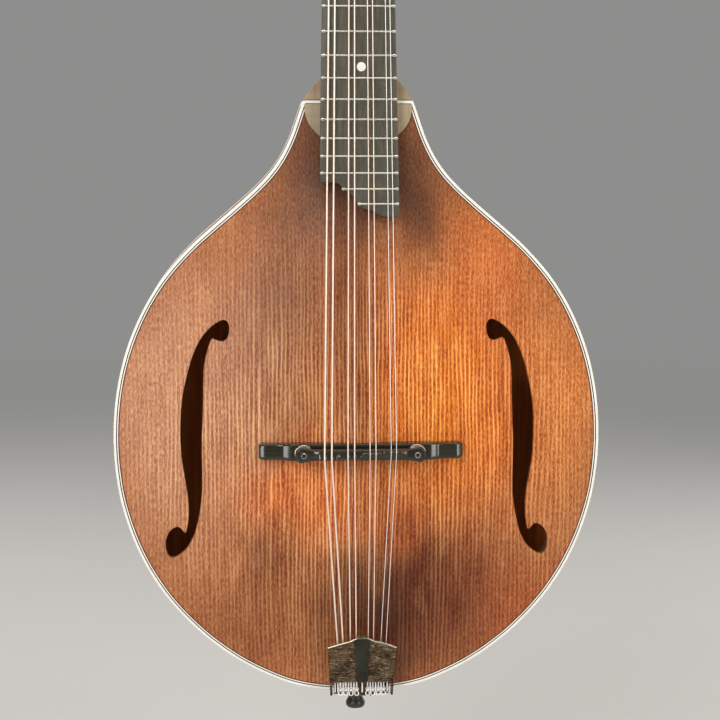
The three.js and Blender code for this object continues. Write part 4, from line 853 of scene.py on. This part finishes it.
for si, nm in ((-1, "bass"), (1, "treble")):
    pl = [(si * POST_V + dx, s) for dx, s in ((-7.5, 29), (-7.0, 27.4), (-5.5, 26.6), (5.5, 26.6), (7.0, 27.4), (7.5, 29), (7.5, 125), (7.0, 126.6), (5.5, 127.4), (-5.5, 127.4), (-7.0, 126.6), (-7.5, 125))]
    parts = [slab(pl, -HS_T - 1.5, -HS_T - 0.02, 0.3, 2)]
    for s in POST_S:
        for dx in (-6.6, 6.6):
            cx, cy = si * POST_V + dx, s + WORM_DS
            # bearing lug: an upright tab with a round top round the shaft
            lug = [(cy - 2.5, -HS_T - 1.0), (cy - 2.5, WORM_N)] + [(cy - 2.5 * math.cos(a), WORM_N - 2.4 * math.sin(a)) for a in np.linspace(0.15, math.pi - 0.15, 14)] + [(cy + 2.5, WORM_N), (cy + 2.5, -HS_T - 1.0)]
            R = [[(cx + o, a, b) for a, b in lug] for o in (-0.72, 0.72)]
            parts.append(loft(R))
    V, F = merge(*parts)
    make("tuner_strip_" + nm, V, F, NICKEL, conv=HS, repl=["tuner_plate_" + nm], angle=30)
    for k, s in enumerate((30.5, 53.5, 99.5, 122.5)):
        screw(f"plate_screw_{nm}_{k + 1}", si * POST_V + (-4.8 if k % 2 else 4.8) * si, s - 1.2 if k else s, -HS_T - 1.5, r=1.35, flip=-1, ang=0.4 + k)
    for k, s in enumerate(POST_S, 1):
        x = si * POST_V; post, btn = f"post_{nm}_{k}", f"button_{nm}_{k}"
        # bushing round the post on the face (fixed)
        V, F = lathe([(3.2, 2.4), (5.1, 2.5), (5.1, 3.3), (4.6, 3.7), (3.25, 3.8), (3.2, 2.4)], 36, "z", (x, s, 0))
        make(f"bushing_{nm}_{k}", V, F, NICKEL, conv=HS)
        V, F = lathe([(0, -16.8), (2.9, -16.8), (2.95, 3.9), (2.95, 5.2), (2.6, 6.2), (2.45, 7.4), (2.6, 8.8), (2.95, 9.8), (2.95, 12.6), (2.5, 13.2), (0, 13.3)], 36, "z", (x, s, 0))
        o = make(f"post_{nm}_{k}_shaft", V, F, NICKEL, body=post, conv=HS, repl=[f"tuner_post_{nm}_{k}"])
        V, F = gear(x, s, -19.35, -16.95)
        make(f"post_{nm}_{k}_gear", V, F, GEARM, body=post, conv=HS, angle=25)
        screw(f"post_{nm}_{k}_screw", x, s, -19.35, r=1.9, flip=-1, ang=0.7 * k)
        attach(bpy.data.objects[f"post_{nm}_{k}_screw"], post)
        # worm shaft and button
        cy, cz = s + WORM_DS, WORM_N
        prof = [(0, 15.0), (1.1, 15.1), (1.15, 17.6), (1.5, 18.0), (1.5, 28.0), (1.15, 28.4), (1.15, 37.0), (2.1, 37.6), (2.25, 39.6), (1.7, 40.4), (0, 40.4)]
        V, F = lathe([(r, si * h) for r, h in prof], 28, "x", (0, cy, cz))
        make(f"button_{nm}_{k}_shaft", V, F, NICKEL, body=btn, conv=HS, repl=[f"tuner_button_{nm}_{k}"])
        a, b = sorted((si * 18.6, si * 27.4))
        V, F = helix(a, b, 2.33, 1.5, 1.98, cy, cz)
        make(f"button_{nm}_{k}_worm", V, F, NICKEL, body=btn, conv=HS, angle=30)
        kp = cr([(1.6, 39.9), (2.9, 40.5), (4.1, 42.2), (5.6, 45.4), (6.2, 48.6), (5.9, 51.6), (4.4, 54.2), (2.2, 55.5), (0.01, 55.9)], 26)
        V, F = lathe([(0, si * 39.9)] + [(max(r, 0), si * h) for r, h in kp[:-1]] + [(0, si * 55.85)], 36, "x", (0, cy, cz))
        V = [(p[0], p[1], cz + (p[2] - cz) * 0.62) for p in V]
        make(f"button_{nm}_{k}_knob", V, F, BUTTON, body=btn, conv=HS)

# ------------------------------------------------------------------ bridge
def base_mesh():
    R = []
    xs = np.unique(np.concatenate([np.linspace(-67.2, 67.2, 121), [-63.4, -62.5, -51.5, -45.5, 45.5, 51.5, 62.5, 63.4]]))
    for v in xs:
        a = abs(v); x = v + BSHIFT
        under = float(top_h(x, 0)) + 0.02 + (1.9 * (1 - ((a - 12) / 9) ** 2 if a > 12 else 1.9) if a < 21 else 0)
        if a < 45.5: zt = 22.35
        elif a < 51.5: zt = 22.35 - 0.36 * (a - 45.5) - 0.012 * (a - 45.5) ** 2
        elif a < 62.5: zt = 19.76 - 0.5 * math.sin(math.pi * (a - 51.5) / 11.0) - 0.07 * (a - 51.5)
        elif a < 63.4: zt = 18.99 + 0.25 * (a - 62.5) / 0.9
        else: zt = 19.24 - 0.38 * (a - 63.4) - 0.02 * (a - 63.4) ** 2
        zt = max(zt, under + 1.6)
        w = 5.55 if a < 46 else 5.55 - 0.35 * min(1, (a - 46) / 4) if a < 64 else 5.2 - 0.9 * ((a - 64) / 3.2) ** 2
        r = min(1.1, (zt - under) * 0.35)
        ring = [(x, -w, under), (x, w, under)]
        ring += [(x, w - r + r * math.cos(t), zt - r + r * math.sin(t)) for t in np.linspace(0, math.pi / 2, 5)]
        # points across the top of each foot; with sc at zero the thumb scoop has no depth and the top stays flat
        sc = 0
        ring += [(x, yy, zt - sc * (1 - (yy / w) ** 2)) for yy in (w * 0.55, 0, -w * 0.55)]
        ring += [(x, -w + r - r * math.cos(t), zt - r + r * math.sin(t)) for t in np.linspace(math.pi / 2, 0, 5)]
        R.append(ring)
    return loft(R)
V, F = base_mesh()
make("bridge_foot", V, F, EBONY_X, repl=["bridge_base"], angle=32)
def saddle_mesh():
    lx, rx, R0 = POST_X[0], POST_X[1], 5.55
    P = [(lx + R0 * math.cos(a), R0 * math.sin(a)) for a in np.linspace(math.pi * 0.62, math.pi * 1.38, 22)]
    P += [(lx + 3.2, -4.2), (lx + 6.5, -3.55), (rx - 6.5, -3.55), (rx - 3.2, -4.2)]
    P += [(rx + R0 * math.cos(a), R0 * math.sin(a)) for a in np.linspace(-math.pi * 0.38, math.pi * 0.38, 22)]
    P += [(rx - 3.2, 4.2), (rx - 6.5, 3.55), (lx + 6.5, 3.55), (lx + 3.2, 4.2)]
    parts = [slab(P, SZ0, 33.15, 1.1, 5)]
    # ridge along the top
    R = []
    for x in np.linspace(-30.2, 30.2, 25):
        e = 1 - max(0, (abs(x) - 27.5) / 2.7) ** 2
        R.append([(x, -2.7, 32.6), (x, 2.7, 32.6), (x, 2.6, 33.2 + 0.7 * e), (x, 1.6, 33.4 + 1.15 * e), (x, -1.6, 33.4 + 1.15 * e), (x, -2.6, 33.2 + 0.7 * e)])
    parts.append(loft(R))
    for k, (x0, x1, c) in enumerate(CROWN):
        xs = [x0, x0 + 0.5]
        for r, hk, sd, nx in STR[2 * k:2 * k + 2]: xs += [sd - r - 0.3, sd - r * 0.75, sd, sd + r * 0.75, sd + r + 0.3]
        xs += [x1 - 0.5, x1]
        R = []
        for x in xs:
            dz = 0.0
            for r, hk, sd, nx in STR[2 * k:2 * k + 2]:
                q = abs(x - sd)
                if q <= r * 0.76: dz = 0.25 if q > 0.01 else 0.42
            e = 0.3 if x in (x0, x1) else 0
            zt = SZ1 + 0.12 - dz - e
            R.append([(x, -2.85, 32.4), (x, 2.85, 32.4), (x, 2.8, 33.7), (x, min(2.7, c + 0.9), zt - 0.2), (x, min(2.6, c + 0.35), zt), (x, max(-2.6, c - 0.35), zt), (x, max(-2.7, c - 0.9), zt - 0.2), (x, -2.8, 33.7)])
        parts.append(loft(R))
    return merge(*parts)
V, F = saddle_mesh()
make("saddle_wood", V, F, EBONY_X, body="saddle", repl=["bridge_saddle"], angle=50)
for i, nm in enumerate(("bass", "treble")):
    x = POST_X[i]
    # rim of the saddle's bore and the post's slotted end
    V, F = lathe([(2.35, 33.0), (3.1, 33.05), (3.1, 33.35), (2.7, 33.5), (2.35, 33.4), (2.35, 33.0)], 32, "z", (x, 0, 0))
    make(f"saddle_bore_rim_{nm}", V, F, EBONY_X, body="saddle")
    prof = [(0, 16.4)]
    z = 16.6
    while z < 33.4:
        prof += [(1.78, z), (1.98, z + 0.25), (1.98, z + 0.35), (1.78, z + 0.6)]; z += 0.8
    prof += [(1.95, 34.2), (1.9, 34.6), (1.7, 34.76), (1.42, 34.76), (1.3, 34.5), (1.22, 34.34), (0, 34.3)]
    V, F = lathe(prof, 36, "z", (x, 0, 0))
    make(f"stud_{nm}", V, F, NICKEL, repl=["bridge_post_" + nm], angle=30)
    V, F = lathe([(0, 34.32), (1.2, 34.33), (1.14, 34.42), (0, 34.46)], 28, "z", (x, 0, 0))
    make(f"stud_face_{nm}", V, F, TAILD)
    # the slot is a black bar standing on the face: painted shade for the inside of the slot
    V, F = box(x - 1.12, x + 1.12, -0.24, 0.24, 34.36, 34.52, 0.04)
    make(f"stud_slot_{nm}", V, F, BLACK)
    pts = []
    for k in range(44):
        for f, r in ((-0.25, 5.72), (0.25, 6.05)):
            a = 2 * math.pi * (k + f) / 44; pts.append((x + r * math.cos(a), r * math.sin(a)))
    V1, F1 = slab(pts, 24.55, 26.85, 0.35, 2)
    V2, F2 = lathe([(2.05, 26.5), (3.2, 26.5), (3.2, 26.88), (2.05, 26.88), (2.05, 26.5)], 28, "z", (x, 0, 0))
    V, F = merge((V1, F1), (V2, F2))
    make(f"wheel_{nm}", V, F, NICKEL, body="thumbwheel_" + nm, repl=["thumbwheel_" + nm], angle=25)

# ------------------------------------------------------------------ tailpiece and end pin
tail_z = lambda y: 0.165 * (y + 160)
def cover_line():
    top = [(-7.6, -128.4), (-4.6, -126.9), (-2.4, -126.4), (0, -126.25), (2.4, -126.4), (4.6, -126.9), (7.6, -128.3)]
    L = [(-22.9, -133.0), (-15, -130.5)] + [tuple(p) for p in cr(top, 18)] + [(15, -130.1), (22.9, -133.2), (21.9, -146), (21.2, -158.5), (7.4, -158.5)]
    L += [(5.0 * math.cos(a) + 0, -158.5 + 0.9 * math.sin(a)) for a in np.linspace(0.0, math.pi, 8)] + [(-7.4, -158.5), (-21.2, -158.5), (-21.9, -146)]
    return [(x + TX, y) for x, y in L]
V, F = slab(cover_line(), 11.4, 13.1, 0.45, 3)
V = [(x, y, z + tail_z(y)) for x, y, z in V]
parts = [(V, F)]
for sg in (-1, 1):
    q = [(TX + sg * 22.8, -133.6), (TX + sg * 20.8, -133.6), (TX + sg * 19.5, -167.6), (TX + sg * 20.2, -168.3), (TX + sg * 21.1, -168.2)]
    v, f = slab(q, 8.7, 12.6, 0.35, 2)
    parts.append(([(x, y, z + tail_z(y)) for x, y, z in v], f))
V, F = merge(*parts)
make("tail_cover", V, F, TAILM, repl=["tailpiece_cover"], angle=30)
# the cover's raised top edge, in pale metal as a painted highlight along it
lipp = [(x, y, 13.05 + tail_z(y)) for x, y in cover_line() if y > -133.4 and abs(x - TX) < 23.5]
lipp.sort()
lp3 = cr([(x, y - 0.35, z - 0.15) for x, y, z in lipp], 60)
V, F = tube(lp3, 0.55, 10, ref=(0, 1, 0))
make("tail_cover_lip", V, F, TAIL_HIGHLIGHT, angle=60)
wl = [(-5.3, -127.7), (-3.0, -126.9), (0, -126.6), (3.0, -126.9), (5.3, -127.7), (4.4, -143), (3.6, -158.3), (-3.6, -158.3), (-4.4, -143)]
V, F = slab([(x + TX, y) for x, y in wl], 12.9, 14.3, 0.5, 3)
V = [(x, y, z + tail_z(y)) for x, y, z in V]
make("tail_cover_spine", V, F, TAILD, angle=30)
V, F = slab([(x + TX, y) for x, y in ((-3.6, -128.2), (-3.5, -124.4), (3.5, -124.4), (3.6, -128.2))], 12.2, 13.4, 0.35, 2)
V = [(x, y, z + tail_z(y)) for x, y, z in V]
make("tail_cover_tab", V, F, TAILM, angle=30)
parts = [box(TX - 18.5, TX + 18.5, -168.4, -141.2, 5.05, 6.95, 0.3)]
hooks = []
for r, hk, sd, nx in STR:
    hooks.append(lathe([(0, 6.6), (1.0, 6.6), (0.72, 7.4), (0.72, 9.4), (1.0, 10.1), (0.7, 10.5), (0, 10.6)], 20, "z", (hk, -164.6, 0)))
    curl = [(hk + 1.3 * math.sin(a), -167.7 - 1.3 * math.cos(a), 8.3 + 0.5 * math.cos(a)) for a in np.linspace(-2.7, 2.7, 22)]
    hooks.append(tube(curl, 0.36, 8, ref=(0, 0, 1)))
for x in [-15.6, -13.7, -10.15, -6.6, -2.9, 2.7, 8.15, 11.75, 15.4, 19.6]:
    hooks.append(slab([(x - 0.42, -159.6), (x - 0.42, -166.4), (x, -166.8), (x + 0.42, -166.4), (x + 0.42, -159.6)], 6.8, 9.75, 0.2, 2))
V, F = merge(*hooks)
make("tail_hooks", V, F, BRIGHT, angle=40)
# strap: bent over the tail and down to the pin, with a rounded lower end
seg = []
path = [(-160, 6.0), (-166.5, 6.0), (-168.6, 5.6), (-169.7, 4.4), (-169.95, 2.5), (-169.95, -6), (-169.95, -20), (-169.95, -33), (-169.95, -39.5), (-169.95, -43.9)]
P2 = cr(path, 60)
T2 = np.gradient(P2, axis=0); T2 /= np.linalg.norm(T2, axis=1)[:, None]; N2 = np.stack([-T2[:, 1], T2[:, 0]], 1)
R = []
for (y, z), (ny, nz) in zip(P2, N2):
    w = 8.4 if z > -38 else 8.4 * math.sqrt(max(0.02, 1 - ((-38 - z) / 6.0) ** 2))
    t = 0.9
    R.append([(TX - w, y + ny * t * 0.8, z + nz * t * 0.8), (TX - w + 0.5, y + ny * t, z + nz * t), (TX + w - 0.5, y + ny * t, z + nz * t), (TX + w, y + ny * t * 0.8, z + nz * t * 0.8),
              (TX + w, y - ny * t * 0.8, z - nz * t * 0.8), (TX + w - 0.5, y - ny * t, z - nz * t), (TX - w + 0.5, y - ny * t, z - nz * t), (TX - w, y - ny * t * 0.8, z - nz * t * 0.8)])
parts.append(loft(R))
V, F = merge(*parts)
make("tail_frame", V, F, TAILM, repl=["tailpiece_base"], angle=35)
pp = cr([(3.9, -150), (3.95, -171.2), (7.0, -171.5), (7.35, -172.6), (7.1, -174.0), (5.6, -176.6), (4.85, -179.2), (5.0, -181.4), (6.2, -183.6), (6.62, -185.2), (6.4, -186.9), (5.55, -187.9)], 60)
V, F = lathe([(0, -150)] + [(r, h) for r, h in pp] + [(5.3, -187.98), (0, -187.98)], 48, "y", (0, 0, PIN_Z))
make("strap_pin", V, F, EBONY, repl=["end_pin"], angle=35)
for k, (x, z) in enumerate(((-4.6, -13.5), (9.0, -13.5), (TX, -39.6))):
    V, F = [], []
    seg = 24
    prof = [(0, -170.2), (1.9, -170.2), (1.85, -171.35), (1.2, -171.7), (0, -171.8)]
    v, f = lathe(prof, seg, "y", (x if k < 2 else TX, 0, z if k < 2 else -40.3))
    make(f"strap_screw_{k + 1}", v, f, NICKEL)

# ------------------------------------------------------------------ strings
nut_top = FB_TOP + 1.4 - (SCALE - JOINT_U + 0.2) * NECK_SLOPE
for i, (r, hk, sd, nx) in enumerate(STR):
    bass = i < 4; order = i if bass else 7 - i; side = -1 if bass else 1
    c = CROWN[i // 2][2]; s_post = POST_S[order]; x_post = side * POST_V
    zs = SZ1 + 0.02 + r; zn = nut_top + 0.02 + r * 0.9 - 0.3 * 0
    mt = WOUND if i < 6 else BRIGHT
    nm = f"string_{i + 1}"
    hookp = np.array([hk, -163.2 + r, 8.6]); sadp = np.array([sd, c, zs]); nutp = np.array([nx, SCALE + 0.8, zn])
    sides = 12
    # speaking length and the run over the fingerboard: follows the saddle at its lower end
    n = 60
    t = np.linspace(0, 1, n)[:, None]
    A = nutp * (1 - t) + sadp * t
    V, F = tube(A, r, sides)
    o = make(nm + "_speaking", V, F, mt, ride=False, repl=[nm], angle=60)
    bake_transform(o)
    B = sadp * (1 - t) + hookp * t
    V, F = tube(B, r, sides)
    o = make(nm + "_tail", V, F, mt, ride=False, angle=60)
    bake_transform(o)
    # ball of twist above the loop, and the loop round its hook
    d = (sadp - hookp) / np.linalg.norm(sadp - hookp)
    tw = []
    for q in np.linspace(0, 1, 60):
        tw.append(hookp + d * (0.4 + 9.5 * q) + (r + 0.16) * np.array([math.cos(q * 2 * math.pi * 11), 0, math.sin(q * 2 * math.pi * 11)]) * (1 - 0.25 * q))
    V, F = tube(tw, 0.22, 6)
    make(nm + "_twist", V, F, BRIGHT, angle=60)
    lp = [np.array([hk + 1.18 * math.sin(a), -164.6 - 1.25 * math.cos(a) + (0.0), 8.6 + 0.1 * math.cos(a)]) for a in np.linspace(-math.pi * 0.93, math.pi * 0.93, 30)]
    V, F = tube([hookp] + lp + [hookp], 0.26, 7, ref=(0, 0, 1))
    make(nm + "_loop", V, F, BRIGHT, angle=60)
    # from the nut to the post, then the wraps, which turn with the post
    wr = 2.62 + r
    endp = np.array(hs_inst((side * (POST_V - wr), s_post, 7.5)))
    mid1 = np.array([nx + (endp[0] - nx) * 0.03, SCALE + 3.9, zn - 0.42])
    C = cr([nutp, mid1, mid1 + (endp - mid1) * 0.06, mid1 + (endp - mid1) * 0.5, endp], 34)
    V, F = tube(C, r, 10)
    make(nm + "_head", V, F, mt, angle=60)
    wraps = 3.2 if i < 6 else 4.2
    L = []
    for q in np.linspace(0, 1, int(wraps * 26)):
        a = (math.pi if side > 0 else 0) - side * (-1) * 0 + (1 if side < 0 else -1) * 2 * math.pi * wraps * q
        L.append((x_post + wr * math.cos(a), s_post + wr * math.sin(a), 7.5 + 0.1 - q * min(2.4, wraps * 2.05 * r) + (0.6 if False else 0)))
    V, F = tube(L, r, 8)
    make(nm + "_wraps", V, F, mt, body=f"post_{'bass' if bass else 'treble'}_{order + 1}", conv=HS, angle=60)

# ------------------------------------------------------------------ carried CAD nodes: inner pieces
for n in ("neck_block", "tail_block", "lining_top_bass", "lining_top_treble", "lining_back_bass", "lining_back_treble", "tone_bar_bass", "tone_bar_treble"):
    me = frame["nodes"][n].data; me.materials.clear(); me.materials.append(RAW if n.startswith("tone") or n.startswith("lining") else INSIDE)
for n in ("truss_rod", "truss_rod_nut"):
    me = frame["nodes"][n].data; me.materials.clear(); me.materials.append(STEEL)

# ------------------------------------------------------------------ stage, lights, camera
def plain(name, col, rough):
    m = Mat(name, rough=rough, spec=0.2)
    n = m.noise(m.map((6, 6, 6)), 1.0, 3, 0.5)
    return m.done(m.mix(n, col, tuple(c * 0.96 for c in col)), m.rng(n, 0, 1, rough - 0.05, rough + 0.05))
SURROUND = (0.27, 0.27, 0.267)
def floor_mat():
    m = Mat("floor_pale", rough=0.85, spec=0.2)
    n = m.noise(m.map((6, 6, 6)), 1.0, 3, 0.5)
    m.done(m.mix(n, (0.66, 0.65, 0.63), (0.63, 0.62, 0.60)), m.rng(n, 0, 1, 0.8, 0.9))
    l = m.t.nodes.new("ShaderNodeVectorMath"); l.operation = "LENGTH"; m.link(m.map((1, 1, 0)), l.inputs[0])
    e = m.t.nodes.new("ShaderNodeEmission"); e.inputs[0].default_value = (*SURROUND, 1); e.inputs[1].default_value = 1.0
    x = m.t.nodes.new("ShaderNodeMixShader"); m.link(m.rng(l.outputs["Value"], 0.5, 3.6, 0.0, 1.0, smooth=True), x.inputs[0])
    m.link(m.bsdf.outputs[0], x.inputs[1]); m.link(e.outputs[0], x.inputs[2]); m.link(x.outputs[0], m.out.inputs[0])
    return m.m
fl_z = -0.93
V = [(0, 0, fl_z)]; F = []
for r in (0.3, 0.6, 1, 1.5, 2.2, 3.2, 5, 9, 20, 60): V += [(r * math.cos(2 * math.pi * k / 64), r * math.sin(2 * math.pi * k / 64), fl_z) for k in range(64)]
for k in range(64):
    F.append((0, 1 + k, 1 + (k + 1) % 64))
    for j in range(9): F.append((1 + 64 * j + k, 1 + 64 * (j + 1) + k, 1 + 64 * (j + 1) + (k + 1) % 64, 1 + 64 * j + (k + 1) % 64))
me = bpy.data.meshes.new("floor"); me.from_pydata(V, [], F); me.shade_smooth(); me.materials.append(floor_mat())
fo = bpy.data.objects.new("floor", me); bpy.context.scene.collection.objects.link(fo)

def area(name, loc, target, size, power, color=(1, 1, 1), size_y=None):
    l = bpy.data.lights.new(name, "AREA"); l.energy = power; l.size = size; l.color = color
    if size_y: l.shape = "RECTANGLE"; l.size_y = size_y
    o = bpy.data.objects.new(name, l); bpy.context.scene.collection.objects.link(o)
    o.location = loc; o.rotation_euler = (Vector(target) - Vector(loc)).to_track_quat("-Z", "Y").to_euler(); return o
C0 = (0.0, -0.05, -0.56)
area("key", (-0.72, -1.3, 0.12), C0, 0.55, 13.6, (1.0, 0.985, 0.96), 0.8)
area("fill", (1.15, -1.2, -0.05), C0, 0.8, 10.5, (1.0, 0.94, 0.84), 1.0)
area("strip_left", (-1.15, -1.05, -0.70), C0, 0.16, 1.9, (1, 1, 1), 0.4)
area("strip_right", (1.2, -1.0, -0.70), C0, 0.16, 1.9, (1, 0.98, 0.95), 0.4)
area("top_front", (0.1, -0.75, 1.2), (0, 0, -0.25), 1.1, 9, (1.0, 0.98, 0.95), 0.6)
area("back_left", (-1.2, 1.3, 0.5), C0, 1.0, 14, (1.0, 0.98, 0.95), 1.2)
area("back_right", (1.3, 1.1, 0.1), C0, 0.9, 11, (1.0, 0.98, 0.95), 1.2)
w = bpy.data.worlds.new("world"); bpy.context.scene.world = w; w.use_nodes = True
w.node_tree.nodes["Background"].inputs[0].default_value = (*SURROUND, 1); w.node_tree.nodes["Background"].inputs[1].default_value = 1.0

FOC, CV_, CU_, CH_ = 1826.506, -66.178, 215.965, 1200.0
PITCH, YAW, ROLL = 0.13052021, -0.05625393, 0.00143636
cp, sp, cy_, sy_, cr_, sr_ = math.cos(PITCH), math.sin(PITCH), math.cos(YAW), math.sin(YAW), math.cos(ROLL), math.sin(ROLL)
R0 = np.array([[1, 0, 0], [0, -1, 0], [0, 0, -1.0]])
Rx = np.array([[1, 0, 0], [0, cp, -sp], [0, sp, cp]]); Ry = np.array([[cy_, 0, sy_], [0, 1, 0], [-sy_, 0, cy_]]); Rz = np.array([[cr_, -sr_, 0], [sr_, cr_, 0], [0, 0, 1]])
R = Rz @ Rx @ Ry @ R0
wv = lambda q: Vector((q[0], -q[2], q[1]))
right, down, fwd = wv(R[0]), wv(R[1]), wv(R[2])
M = Matrix.Identity(4)
for i in range(3):
    M[i][0], M[i][1], M[i][2] = right[i], -down[i], -fwd[i]
M.translation = Vector(W((CV_, CU_, CH_)))
cam = bpy.data.cameras.new("camera"); cam.sensor_width = 36.0; cam.lens = FOC / 720 * 36; cam.clip_end = 50
co = bpy.data.objects.new("camera", cam); bpy.context.scene.collection.objects.link(co); co.matrix_world = M
bpy.context.scene.camera = co
bpy.context.scene.view_settings.view_transform = "Standard"
bpy.context.scene.view_settings.look = "None"
bpy.context.scene.view_settings.exposure = 0.0
